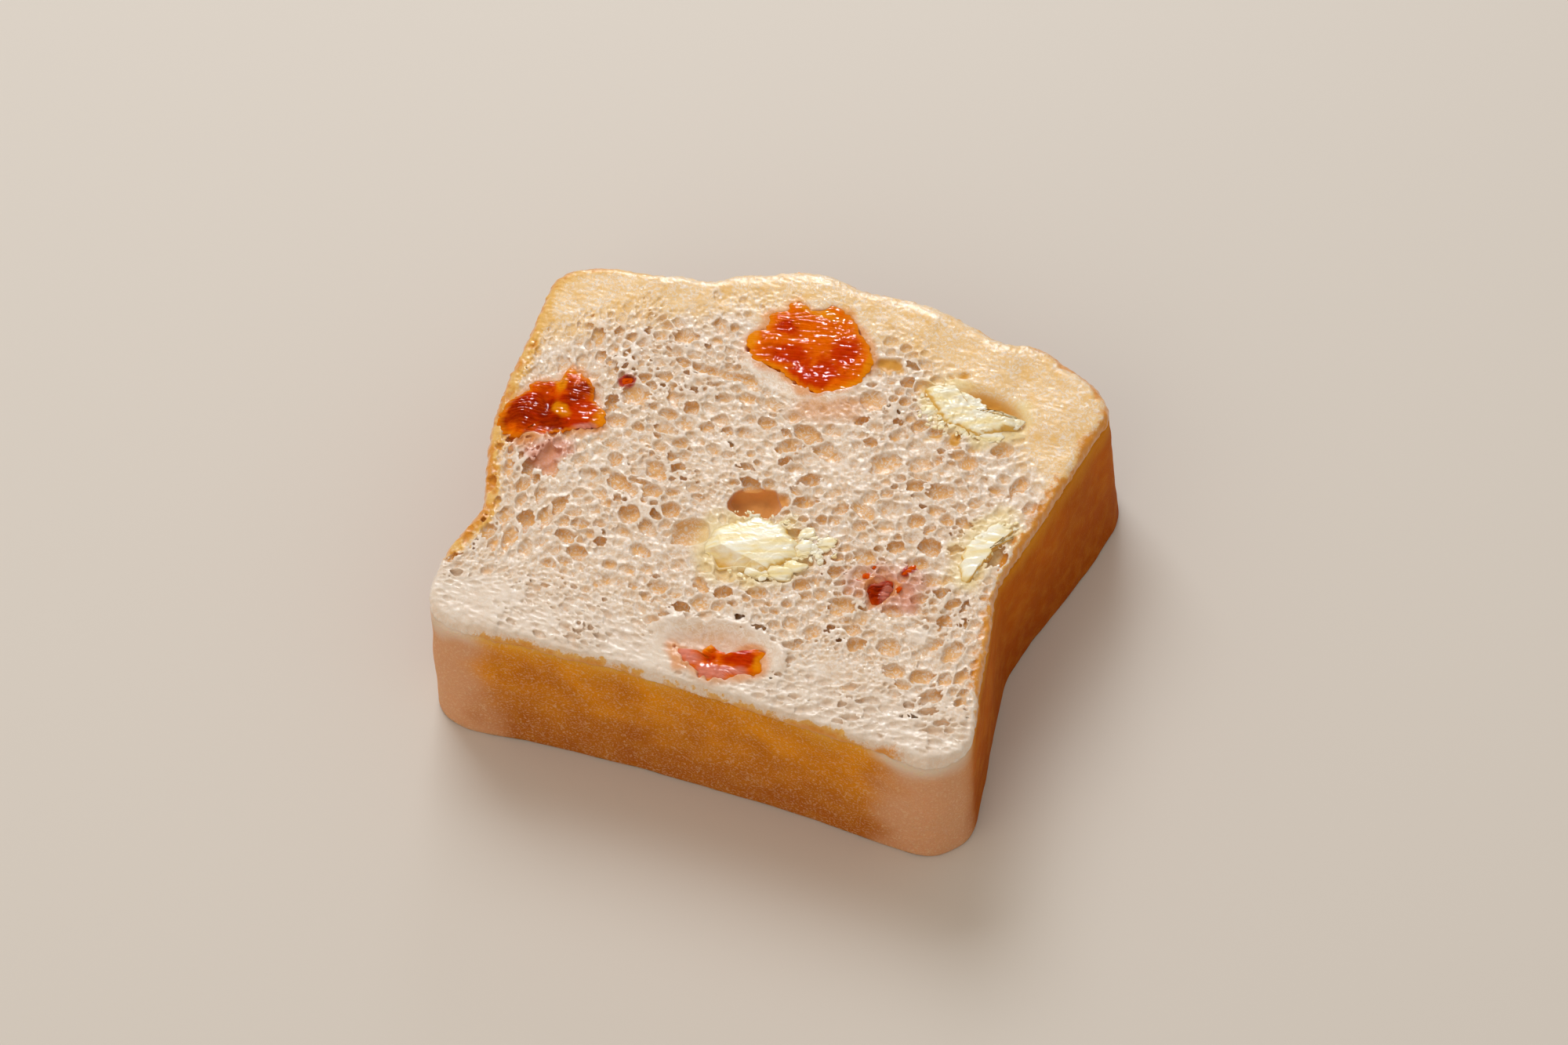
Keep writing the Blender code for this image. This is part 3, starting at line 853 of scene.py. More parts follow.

# %% Colour and bumps of the crumb
# Painted light in these layers: shade in the middles of the cells and highlight on their edges, shade inside
# the pores and the deep hole, glints among the white wisps, highlight on the torn crests and a glow at one
# end of the hole.
colour = painted(
    crumb,
    "#e6cdae",
    (shallow["pool_shade"], 0, 1, 1, "#d9b084"),
    (shallow["wall_highlight"], 0, 1, 1, "#f6ece2"),
    (on["hollow"], 0, 1, 1, "#e9b474"),
    (on["hollow"], 0.7, 1.3, 1, "#fabc64"),
    (on["dome"], 0, 1, 1, "#f3cd90"),
    (noise["wisps_and_painted_glints"], 0.49, 0.6, 0.7, "#f2e8de"),
    (on["paleness_and_highlight"], 0, 1, 1, "#f1e4d4"),
    (gold.outputs[0], 0, 1, 1, "#f3c064"),
    (on["butter"], 0, 1.35, 1, "#f6e0a2"),
    (on["golden_hollow"], 0, 1, 1, "#e2a440"),
    (on["blush"], 0, 1.4, 1, "#da866c"),
    (on["stain"], 0, 0.95, 1, "#e08a2c"),
    (on["tunnel_shade"], 0, 1, 1, "#e49c4e"),
    (on["tunnel_glow"], 0, 1, 1, "#e07a10"),
    (on["fleck"], 0, 1, 1, "#b31f04"),
    (ragged_rim.outputs[0], 0.8, 1.1, 1, RIM_YELLOW),
    (ragged_bake.outputs[0], 0.7, 1.3, 1, RIM_GOLD),
    (noise["mottle"], 0.3, 0.7, 0.1, "#c98f5a"),
)
crumb.node_tree.links.new(colour, shader.inputs["Base Color"])
bump = add(crumb, "ShaderNodeBump", [("Height", noise["wisps_and_painted_glints"])], Strength=0.4, Distance=0.1 * MM)
crumb.node_tree.links.new(bump.outputs[0], shader.inputs["Normal"])
over = [("Height", noise["grain"]), ("Normal", bump.outputs[0])]
wet = add(crumb, "ShaderNodeBump", over, Strength=1.0, Distance=0.16 * MM)
crumb.node_tree.links.new(wet.outputs[0], shader.inputs["Coat Normal"])
sealed = add(crumb, "ShaderNodeMapRange", [("Value", on["dome"])], To_Min=0.8, To_Max=0.4)
crumb.node_tree.links.new(sealed.outputs[0], shader.inputs["Coat Weight"])
print("crumb nodes:", len(crumb.node_tree.nodes))

# %% [markdown]
# The crumb dips a little towards each piece of fruit or chocolate and runs on under it, so that no
# gap shows at its edge. Round the lowest piece of fruit lies a smooth pocket with a pale raised
# ring, as a large closed bubble would leave it. The upper face shows, so its cubes are small. The
# lower one lies on the floor, so coarser ones will do.

# %% Build the crumb of both cut faces
def settle_pieces(x, y, openness):
    """Makes room for the fruit and chocolate: the crumb dips towards each and runs on under it."""
    lowered = np.zeros_like(x)
    gaps = {}
    for name, loop in piece_loops.items():
        gap = distance_to_loop(loop, x, y)
        gaps[name] = gap
        if name == "apricot_right":
            lowered = np.maximum(lowered, 1.6 * smooth_step(0.2, -0.8, gap))
        elif name in APRICOTS:
            openness *= smooth_step(-0.3, 0.9, gap)
            torn = gap + 0.3 * point_noise(np.column_stack([x.ravel(), y.ravel()]), 0.7, 23).reshape(x.shape)
            lowered = np.maximum(lowered, 1.9 * smooth_step(0.0, -1.2, torn))
            lowered -= 0.14 * smooth_step(1.3, 0.3, abs(torn))
        else:
            openness *= smooth_step(-0.4, 0.9, gap)
            lowered = np.maximum(lowered, 1.8 * smooth_step(-0.2, -1.4, gap))
    ring = spot_share(LENS, x, y)
    lowered += 0.9 * smooth_step(0.92, 0.3, ring) * smooth_step(-31.5, -28.0, y)
    lowered -= 0.3 * np.exp(-(((ring - 0.97) / 0.11) ** 2)) * smooth_step(-30.5, -26.5, y)
    lowered += 1.5 * smooth_step(1.05, 0.1, spot_share(HOLLOW, x, y))
    return openness, lowered, gaps


# How far inside the crust the lower face stays, how far from a point its fullness is measured, how
# far away a missing piece counts, and how far the lower face stays off the floor.
LOWER_INSET = 0.5
NEIGHBOURHOOD = 0.45
NO_PIECE = 99.0
FLOOR_GAP = 0.02
UPPER_ONLY = ("stain", "blush", "butter", "golden_hollow", "fleck", "tunnel_shade", "tunnel_glow")


def build_crumb(name, loop, voxel, depth, seed, upper):
    low, high = loop.min(0) - 1, loop.max(0) + 1
    axes = [np.arange(low[k], high[k], voxel) for k in (0, 1)] + [np.arange(-depth, HEADROOM, voxel)]
    x, y = np.meshgrid(*axes[:2], indexing="ij")
    edge = distance_to_loop(loop, x, y) + (0.0 if upper else LOWER_INSET)
    openness = openness_map(x, y, edge)
    lowered = np.zeros_like(x)
    piece_gap = {name: np.full_like(x, NO_PIECE) for name in piece_loops}
    if upper:
        openness, lowered, piece_gap = settle_pieces(x, y, openness)
    solid, face = crumb_field(axes, voxel, edge, openness, lowered, seed, upper)
    solid = filled(np.maximum(solid, -(axes[2][None, None, :] + depth - 2 * voxel)))
    points, quads = surface_of(solid, axes, voxel)
    up = points[:, 2].copy()
    reach = round(NEIGHBOURHOOD / voxel)
    filled_share = sample_volume(blurred((solid < 0).astype(np.float32), reach), axes, points)
    below = sample(face, axes, points) - up
    masks = crumb_masks(points, up, below, axes, edge, piece_gap, filled_share)
    if not upper:
        for key in UPPER_ONLY:
            masks[key] = 0 * masks[key]
    kept = up[quads].max(1) > -depth + 3 * voxel
    quads = quads[kept]
    if upper:
        points[:, 2] = THICKNESS + up
    else:
        points[:, 2] = np.maximum(-up, FLOOR_GAP)
        quads = quads[:, ::-1]
    return share_out(name, points, quads, masks, crumb)


crumb_pieces = build_crumb("crumb_upper", top_outline, UPPER_VOXEL, UPPER_DEPTH, seed=5, upper=True)
crumb_pieces += build_crumb("crumb_lower", foot_outline, LOWER_VOXEL, LOWER_DEPTH, seed=47, upper=False)

# %% [markdown]
# ## The crust
#
# The crust is a thin skin right round the slice, smooth where it met the tin and creased over the
# dome. It is a sheet of small squares wrapped round the outlines read from the frame: up the
# outside, over the rounded rim, and down the inside where the crumb hides it.

# %% Columns of the crust
COLUMN_SPACING = 0.42
LEVELS = np.array([0.6, 4.0, 8.0, 12.0, 16.0, 20.0, THICKNESS - 1.2])


def even_angles(loop, spacing):
    """Directions from the origin that meet the loop at even steps along it."""
    closed = np.vstack([loop, loop[:1]])
    along = np.concatenate([[0], np.cumsum(np.hypot(*np.diff(closed, axis=0).T))])
    stops = np.linspace(0, along[-1], int(along[-1] / spacing), endpoint=False)
    return np.arctan2(np.interp(stops, along, closed[:, 1]), np.interp(stops, along, closed[:, 0]))


def blurred_round(values, reach):
    """Smooths values round a closed ring."""
    shifts = np.arange(-3 * reach, 3 * reach + 1)
    weights = np.exp(-0.5 * (shifts / reach) ** 2)
    return sum(w * np.roll(values, s, axis=-1) for s, w in zip(shifts, weights)) / weights.sum()


angles = even_angles(outline_of("bread_slice", THICKNESS / 2), COLUMN_SPACING)
level_radii = [radius_towards(outline_of("bread_slice", z), angles) for z in LEVELS]
level_radii = blurred_round(np.array(level_radii), 2)
print("crust columns:", len(angles))


# %% [markdown]
# One profile serves all the way round. Its rows say how high each one is and how far it is set in
# from the outline, and an outline for any height is blended from the ones read at seven levels.
# Noise then makes the skin uneven, most of all by the foot and the rim, where a knife frays it.

# %% Profile of the crust
RIM_BELOW = 2.0
RIM_RADIUS = 1.0


def crust_profile():
    """Rows from inside the foot, up the outside, over the rim and down the inside."""
    rows = [(0.45, 1.25, "foot"), (0.12, 0.95, "foot"), (0.0, 0.6, "foot"), (0.02, 0.28, "foot")]
    rows += [(0.2, 0.06, "wall")]
    rows += [(z, 0.0, "wall") for z in np.arange(0.5, THICKNESS - 3.0, COLUMN_SPACING)]
    rows += [(turn, 0.0, "rim") for turn in np.linspace(0.0, 90.0, 8)]
    rows += [(-0.04, 0.45, "inside"), (-0.5, 0.8, "inside"), (-1.4, 0.9, "inside")]
    rows += [(drop, 0.9, "inside") for drop in (-4.0, -12.0, -22.0)]
    return rows


def profile_row(row):
    """A row's height and inset. A row of the rim holds its turn from upright in degrees instead."""
    height, inset, kind = row
    if kind == "rim":
        turn = math.radians(height)
        dropped = RIM_RADIUS * (1 - math.sin(turn))
        return THICKNESS - RIM_BELOW - dropped, RIM_RADIUS * (1 - math.cos(turn))
    if kind == "inside":
        return THICKNESS - RIM_BELOW + height, RIM_RADIUS + inset
    return height, inset


def wall_points(column_angles, radii):
    """The crust's points, row by row: each row runs once round the slice."""
    rows = crust_profile()
    places, ways = [], []
    for row in rows:
        z, inset = profile_row(row)
        at = min(max(np.searchsorted(LEVELS, z) - 1, 0), len(LEVELS) - 2)
        share = (np.clip(z, LEVELS[0], LEVELS[-1]) - LEVELS[at]) / (LEVELS[at + 1] - LEVELS[at])
        radius = radii[at] * (1 - share) + radii[at + 1] * share
        ring = np.stack([np.cos(column_angles) * radius, np.sin(column_angles) * radius], axis=1)
        along = np.roll(ring, -1, axis=0) - np.roll(ring, 1, axis=0)
        outward = np.stack([along[:, 1], -along[:, 0]], axis=1)
        outward /= np.linalg.norm(outward, axis=1, keepdims=True)
        places.append(np.column_stack([ring - outward * inset, np.full(len(ring), z)]))
        ways.append(outward)
    shape = (len(rows), len(column_angles))
    places, ways = np.array(places), np.array(ways)
    flat = places.reshape(-1, 3)
    outside = np.array([row[2] in ("wall", "rim") for row in rows])[:, None]
    near_top = smooth_step(THICKNESS - 3, THICKNESS, places[..., 2])
    relief = 0.10 * point_noise(flat, 6.0, 61) + 0.045 * point_noise(flat, 2.0, 62)
    relief = relief.reshape(shape) * outside - 0.12
    relief += 0.05 * point_noise(flat, 0.7, 63).reshape(shape) * near_top
    lift = (0.10 * point_noise(flat, 0.8, 64) + 0.10 * point_noise(flat, 3.0, 65)).reshape(shape) * near_top
    foot = np.array([row[2] == "foot" for row in rows])[:, None]
    lift += 0.25 * np.abs(point_noise(flat, 1.2, 66)).reshape(shape) * foot
    places[..., :2] += ways * relief[..., None]
    places[..., 2] += lift
    return places


crust_rows = wall_points(angles, level_radii)
print("crust rows:", len(crust_rows))

# %% [markdown]
# The sheet itself is a grid primitive with one square for each step round and each step of the
# profile. Each of its points is moved to its place on the slice, both pairs of ends then meet, and
# merging them closes the ring.


# %% Wrap a grid into the crust
def wrapped_grid(name, rows):
    deselect_all()
    tall, around = rows.shape[:2]
    bpy.ops.mesh.primitive_grid_add(x_subdivisions=around, y_subdivisions=tall, size=1)
    sheet = bpy.context.object
    sheet.name = sheet.data.name = name
    flat = np.empty(len(sheet.data.vertices) * 3, np.float32)
    sheet.data.vertices.foreach_get("co", flat)
    flat = flat.reshape(-1, 3)
    column = np.rint((flat[:, 0] + 0.5) * around).astype(int) % around
    row = np.rint((flat[:, 1] + 0.5) * tall).astype(int) % tall
    sheet.data.vertices.foreach_set("co", (rows[row, column] * MM).astype(np.float32).ravel())
    bpy.ops.object.mode_set(mode="EDIT")
    bpy.ops.mesh.select_all(action="SELECT")
    bpy.ops.mesh.remove_doubles(threshold=1e-7)
    bpy.ops.mesh.normals_make_consistent(inside=False)
    bpy.ops.object.mode_set(mode="OBJECT")
    sheet.data.shade_smooth()
    return sheet


def set_masks(piece, masks):
    for key, values in masks.items():
        attribute = piece.data.attributes.new(key, "FLOAT", "POINT")
        attribute.data.foreach_set("value", values.astype(np.float32))


def points_of(piece):
    """The piece's points in millimetres."""
    flat = np.empty(len(piece.data.vertices) * 3, np.float32)
    piece.data.vertices.foreach_get("co", flat)
    return flat.reshape(-1, 3) / MM


crust_ring = wrapped_grid("crust", crust_rows)
place = points_of(crust_ring)
x, y, z = place.T
stir = point_noise(place, 4.0, 71)
fine = point_noise(place, 0.9, 72)
front = smooth_step(-28, -33, y)
corner = np.maximum(smooth_step(-25, -33, x + 1.5 * stir), smooth_step(25, 32, x + 1.5 * stir))
# height darkens the wall towards the foot, partly as painted shade, and glow is a painted glow of light
# through the thin skin by the rim.
crust_masks = {
    "pale": np.clip(front * corner, 0, 1),
    "height": smooth_step(2.0, THICKNESS - 5, z + 1.2 * stir),
    "baked": baked_share(x, y, z - THICKNESS, stir + 0.4 * fine),
    "front": front,
    "glow": smooth_step(THICKNESS - 6, THICKNESS - 1.5, z + 0.8 * stir),
}
set_masks(crust_ring, crust_masks)
print("crust faces:", len(crust_ring.data.polygons))

# %% [markdown]
# The crust is starch and sugar browned to gold. Its colour isn't even: brown by the foot and browner on the
# sides than on the base crust, partly its own browning and partly painted shade; lighter towards the rim,
# where a painted glow stands for light through the thin skin; patchy where the tin was hotter; and pale at
# the corners by the base, where the dough stayed off the tin. A gradient alone would look painted on, so
# patches and blisters of noise are laid over it, and a fine bloom of flour on the base crust, the side that
# shows best.

# %% Crust material
# Matt, because the skin is dry, with a little light inside it, so that the thin rim glows. The glow by the
# rim is also painted into its colour.
crust, shader = new_material(
    "baked_crust",
    Roughness=0.62,
    IOR=1.45,
    Specular_IOR_Level=0.05,
    Subsurface_Weight=0.35,
    Subsurface_Scale=MM,
    Subsurface_Radius=(1.8, 0.8, 0.3),
)
place = add(crust, "ShaderNodeTexCoord").outputs["Object"]
on = {key: add(crust, "ShaderNodeAttribute", attribute_name=key).outputs["Fac"] for key in crust_masks}
CRUST_NOISES = (("patches", 7.0, 4.0, 0.0), ("flour", 0.32, 4.0, 0.4), ("blisters", 2.2, 3.0, 0.2))
noise = {}
for name, width, detail, distortion in CRUST_NOISES:
    settings = {"Scale": 1 / (width * MM), "Detail": detail, "Distortion": distortion}
    noise[name] = add(crust, "ShaderNodeTexNoise", [("Vector", place)], **settings).outputs["Fac"]
# The sides are darker than the base crust, and each wall darker by its foot: partly the crust's own browning,
# partly painted shade.
foot = painted(crust, "#a44a04", (on["front"], 0, 1, 1, "#ba6a1c"))
wall = painted(crust, "#c46206", (on["front"], 0, 1, 1, "#ea920a"))
pale = painted(crust, "#dca074", (on["glow"], 0, 1, 1, "#e6ceb6"))
rim = painted(crust, RIM_YELLOW, (on["pale"], 0, 1, 1, "#e8d2b8"))
skin = painted(
    crust,
    foot,
    (on["height"], 0, 1, 1, wall),
    (noise["patches"], 0.38, 0.66, 0.6, "#ac5406"),
    (noise["blisters"], 0.45, 0.8, 0.3, "#d9902c"),
    (on["glow"], 0, 1.5, 1, "#e69c24"),
    (on["pale"], 0, 1, 1, pale),
)
ragged_bake = add(crust, "ShaderNodeMath", [(0, on["baked"]), (1, noise["flour"])], operation="ADD")
span = {"From_Min": 0.5, "From_Max": 0.7, "To_Max": 0.5}
grains = add(crust, "ShaderNodeMapRange", [("Value", noise["flour"])], **span).outputs[0]
floury = add(crust, "ShaderNodeMath", [(0, grains), (1, on["front"])], operation="MULTIPLY")
colour = painted(
    crust,
    rim,
    (ragged_bake.outputs[0], 0.6, 1.4, 1, skin),
    (floury.outputs[0], 0, 1, 1, "#edcba4"),
)
crust.node_tree.links.new(colour, shader.inputs["Base Color"])
bump = add(crust, "ShaderNodeBump", [("Height", noise["blisters"])], Strength=0.7, Distance=0.3 * MM)
over = [("Height", noise["flour"]), ("Normal", bump.outputs[0])]
bump = add(crust, "ShaderNodeBump", over, Strength=0.9, Distance=0.16 * MM)
crust.node_tree.links.new(bump.outputs[0], shader.inputs["Normal"])
crust_ring.data.materials.append(crust)
print("crust nodes:", len(crust.node_tree.nodes))

# %% [markdown]
# ## Fruit and chocolate
#
# Each piece starts as a cube, divided finely and pulled out to a ball, because a ball made that
# way has even squares and no poles. The ball is then fitted to the outline drawn for the piece:
# nearly flat on top, where the knife went through, and round below, where the crumb holds it.


# %% A ball of even squares, fitted to a piece
def quad_ball(name, cuts):
    deselect_all()
    bpy.ops.mesh.primitive_cube_add(size=2)
    ball = bpy.context.object
    ball.name = ball.data.name = name
    bpy.ops.object.mode_set(mode="EDIT")
    bpy.ops.mesh.select_all(action="SELECT")
    bpy.ops.mesh.subdivide(number_cuts=cuts)
    bpy.ops.object.mode_set(mode="OBJECT")
    ball.data.shade_smooth()
    return ball


def place_points(piece, points):
    piece.data.vertices.foreach_set("co", (points * MM).astype(np.float32).ravel())
    piece.data.update()


def fitted(node, cuts, rim_drop, power, surface):
    """A ball fitted to a piece's outline; surface(x, y) is the height of its top over the cut face."""
    ball = quad_ball(node + "_surface", cuts)
    way = points_of(ball) * MM
    way /= np.linalg.norm(way, axis=1, keepdims=True)
    loop = piece_loops[node]
    centre = (loop.min(0) + loop.max(0)) / 2
    low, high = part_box(node)
    share = np.hypot(way[:, 0], way[:, 1])
    angle = np.arctan2(way[:, 1], way[:, 0])
    reach = radius_towards(loop, angle, centre)
    on_rim = np.column_stack([centre[0] + np.cos(angle) * reach, centre[1] + np.sin(angle) * reach])
    reach = reach + 0.2 * point_noise(on_rim, 0.8, 79) + 0.1 * point_noise(on_rim, 0.4, 80)
    x = centre[0] + np.cos(angle) * reach * share
    y = centre[1] + np.sin(angle) * reach * share
    upper = way[:, 2] >= 0
    rim = THICKNESS - rim_drop
    top = rim + (rim_drop + surface(x, y)) * (1 - share**power)
    bottom = rim + way[:, 2] * (rim - low.z / MM)
    z = np.where(upper, top, bottom)
    place_points(ball, np.column_stack([x, y, z]))
    facing = np.empty(len(ball.data.vertices) * 3, np.float32)
    ball.data.vertex_normals.foreach_get("vector", facing)
    steep = smooth_step(0.86, 0.5, facing[2::3]) * upper
    # edge paints the light through the thin rim of the fruit and the shade by the rim of the chocolate; shade
    # is painted shade where the surface is steep or lies deep.
    masks = {"edge": smooth_step(0.80, 1.0, share) * upper + (1 - upper)}
    masks["shade"] = np.maximum(smooth_step(-0.5, -1.6, z - THICKNESS), 0.9 * steep)
    for key in ("dark", "deep", "amber", "sugar_sheen"):
        masks[key] = coloured_share(key, node, x, y)
    set_masks(ball, masks)
    return ball


def coloured_share(key, node, x, y):
    """How much a piece has of a colour, from the listed spots and a little noise."""
    place = np.column_stack([x, y])
    stir = 0.25 * point_noise(place, 2.0, 77) + 0.12 * point_noise(place, 0.7, 78)
    total = np.zeros(len(x))
    for spot in COLOUR_SPOTS.get(node, {}).get(key, ()):
        total = np.maximum(total, smooth_step(1.25, 0.35, spot_share(spot, x, y) + stir))
    return total


# x, y, half length, half width, turn: dark and deep red flesh, amber where it is thin, which is painted light
# coming through, and a pale film of sugar with a painted sheen on it.
COLOUR_SPOTS = {
    "apricot_top": {
        "deep": (
            (-1.2, 19.2, 4.6, 3.2, 15), (-6.3, 20.8, 4.0, 1.7, 15), (2.2, 23.6, 2.6, 2.6, 0),
            (-7.5, 25.5, 2.4, 1.4, 0),
        ),
        "amber": (
            (-8.0, 18.2, 3.2, 0.9, -12), (5.3, 23.6, 0.9, 2.6, 0), (4.0, 18.4, 2.6, 1.2, 35),
            (-0.3, 15.8, 1.3, 0.8, 0), (-11.8, 21.5, 1.0, 2.6, 0), (-3.6, 29.5, 3.6, 1.0, 0),
        ),
    },
    "apricot_left": {
        "dark": (
            (-38.2, -1.8, 3.2, 3.4, 0), (-35.6, 1.2, 2.0, 2.4, 0), (-31.4, 5.0, 1.9, 2.9, -20),
            (-32.8, -1.6, 2.6, 1.4, 15),
        ),
        "deep": (
            (-35.6, 0.4, 6.4, 6.4, 0), (-31.0, 2.0, 4.6, 6.4, 0),
        ),
        "amber": (
            (-34.3, 5.4, 0.8, 2.0, 12), (-34.0, 8.3, 1.2, 0.8, 0), (-26.8, 2.2, 1.3, 1.9, 0),
            (-32.4, 1.4, 1.5, 0.8, -20),
        ),
        "sugar_sheen": (
            (-33.0, -3.4, 4.0, 0.6, 12), (-28.6, -0.2, 1.8, 0.5, 20),
        ),
    },
    "apricot_right": {
        "dark": (
            (18.9, -12.6, 1.8, 2.0, 0),
        ),
        "deep": (
            (19.6, -12.0, 3, 3, 0),
        ),
        "sugar_sheen": (
            (20.8, -12.6, 1.0, 1.6, 0), (18.4, -10.9, 1.2, 0.8, 0),
        ),
    },
    "apricot_bottom": {
        "deep": (
            (1.8, -29.8, 1.1, 0.9, 0), (5.4, -28.9, 2.6, 1.4, 10),
        ),
        "amber": (
            (8.5, -28.2, 0.8, 2.4, -5), (1.0, -28.0, 0.7, 1.0, 0), (2.6, -33.3, 2.6, 0.5, 10),
        ),
        "sugar_sheen": (
            (-0.8, -30.6, 2.2, 1.3, -20), (2.8, -31.8, 3.2, 1.1, 8), (5.0, -30.9, 2.4, 0.7, 12),
        ),
    },
}


LUMP_SINK = 0.12


def crumbs_of(piece, lumps, seed):
    """Joins small broken-off lumps to a piece: x, y, depth, half length, half width, half height, turn."""
    made = []
    for number, (x, y, depth, half_length, half_width, half_height, turn) in enumerate(lumps):
        small = half_length < 1.0
        ball = quad_ball("lump", 3 if small else 11)
        way = points_of(ball) * MM
        way /= np.linalg.norm(way, axis=1, keepdims=True)
        way = np.sign(way) * np.abs(way) ** 0.8
        uneven = 1 + 0.26 * point_noise(way + 5 * number, 0.9, seed)
        uneven += 0.1 * point_noise(way + 5 * number, 0.4, seed)
        form = way * uneven[:, None] * (half_length, half_width, 0.7 * half_height)
        angle = math.radians(turn)
        turned_x = form[:, 0] * math.cos(angle) - form[:, 1] * math.sin(angle)
        turned_y = form[:, 0] * math.sin(angle) + form[:, 1] * math.cos(angle)
        z = THICKNESS - depth - LUMP_SINK + form[:, 2]
        place_points(ball, np.column_stack([x + turned_x, y + turned_y, z]))
        flat_value = np.ones(len(form))
        # Painted shade, golden, on the lower part of some lumps.
        gold = 0.35 * (0.5 + 0.5 * math.sin(37.0 * number)) * smooth_step(0.3, -0.5, form[:, 2] / half_height)
        set_masks(ball, {"edge": 0.15 * flat_value, "deep": 0.6 * flat_value, "shade": gold})
        if small:
            ball.data.shade_flat()
        made.append(ball)
    deselect_all()
    for ball in made:
        ball.select_set(True)
    piece.select_set(True)
    bpy.context.view_layer.objects.active = piece
    bpy.ops.object.join()
    print(piece.name, "faces:", len(piece.data.polygons))


def scattered(spot, count, largest, depth, seed):
    """Small angular crumbs over a patch, larger and closer together in its middle."""
    random = np.random.default_rng(seed)
    angle, lumps = math.radians(spot[4]), []
    for _ in range(count):
        away, way = random.uniform(0.05, 1) ** 0.75, random.uniform(0, 2 * math.pi)
        along, across = spot[2] * away * math.cos(way), spot[3] * away * math.sin(way)
        x = spot[0] + along * math.cos(angle) - across * math.sin(angle)
        y = spot[1] + along * math.sin(angle) + across * math.cos(angle)
        size = largest * random.uniform(0.35, 1) * (1.15 - 0.6 * away)
        thin, low = random.uniform(0.5, 0.9, 2)
        lumps.append((x, y, depth, size, size * thin, size * low, random.uniform(0, 180)))
    return lumps


# %% [markdown]
# The fruit is a dried half, cut across its folds: lobes and hollows placed one by one, and over them the fine
# ridges that drying leaves, which run one way and glint.


# %% Fruit surfaces
def ridges(across, spacing):
    """Rounded ridges with narrow grooves between them, from 0 to 1."""
    return np.abs(np.sin(across * math.pi / spacing)) ** 0.7


def hills(x, y, forms):
    """The sum of soft hills and hollows: x, y, half length, half width, turn, height."""
    total = np.zeros(len(x))
    for *spot, height in forms:
        total += height * np.exp(-1.4 * spot_share(spot, x, y) ** 2)
    return total


def fruit_surface(forms, spacing, height, turn, seed):
    def surface(x, y):
        place = np.column_stack([x, y])
        angle = math.radians(turn)
        across = -x * math.sin(angle) + y * math.cos(angle)
        across = across + 0.8 * point_noise(place, 4.0, seed) + 0.25 * point_noise(place, 1.5, seed + 1)
        strength = np.clip(0.3 + 0.8 * point_noise(place, 3.2, seed + 2), 0, 1.3)
        total = height * strength * ridges(across, spacing)
        finer = ridges(across * 2.3 + 0.5 * point_noise(place, 0.9, seed + 3), spacing)
        total += 0.35 * height * np.clip(strength + 0.2, 0, 1) * finer
        total += 0.13 * point_noise(place, 2.6, seed + 4) + 0.03 * point_noise(place, 0.7, seed + 5)
        return total + 0.05 * point_noise(place, 0.45, seed + 6) + hills(x, y, forms) - 0.34

    return surface


# x, y, half length, half width, turn and height of the lobes, and of the hollows where it is less
# than nothing.
FRUIT_FORMS = {
    "apricot_top": (
        (-4.6, 27.5, 6.0, 2.2, 10, 0.3), (-1.4, 18.0, 3.5, 1.8, 15, 0.15),
        (-4.6, 20.6, 3.2, 0.8, -30, -0.3), (-8.8, 22.6, 3.0, 2.0, 10, 0.2),
        (-7.6, 29.4, 1.6, 1.0, 0, 0.25), (-4.6, 30.6, 1.0, 1.3, 90, -0.4),
        (2.0, 25.0, 3.0, 2.5, 0, 0.2),
    ),
    "apricot_left": (
        (-37.9, -1.7, 2.6, 3.2, 20, 0.55), (-32.0, 5.4, 2.4, 3.2, -20, 0.55),
        (-35.2, 2.6, 1.1, 3.4, 25, -0.75), (-33.4, -1.3, 2.4, 0.9, 10, -0.5),
        (-29.1, 1.3, 2.2, 1.4, -30, 0.3), (-33.0, 0.6, 1.5, 1.0, 0, 0.35),
        (-36.4, 4.6, 1.6, 0.8, 20, 0.2),
    ),
    "apricot_right": (
        (19.3, -12.0, 2.4, 2.8, 0, -0.5), (20.4, -11.2, 0.7, 0.5, 40, 0.5),
        (18.7, -12.6, 0.5, 0.9, 0, 0.45),
    ),
    "apricot_bottom": (
        (1.6, -29.7, 1.3, 1.0, 60, -0.8), (6.2, -28.8, 2.6, 1.4, 20, 0.3),
        (-1.2, -30.6, 1.6, 0.9, -30, 0.2), (2.9, -31.8, 3.4, 1.1, -8, 0.25),
        (4.2, -29.8, 1.8, 0.6, 5, -0.45),
    ),
}
# Cuts of the cube, how far the rim lies under the cut face and how square the top is, then the
# spacing, height, turn and seed of the ridges.
FRUIT_SETTINGS = {
    "apricot_top": (90, 0.5, 8, 0.95, 0.13, 13, 81),
    "apricot_left": (80, 0.55, 8, 0.55, 0.17, 12, 91),
    "apricot_right": (40, 1.6, 4, 0.6, 0.5, 30, 101),
    "apricot_bottom": (60, 0.8, 6, 0.9, 0.16, 8, 111),
}
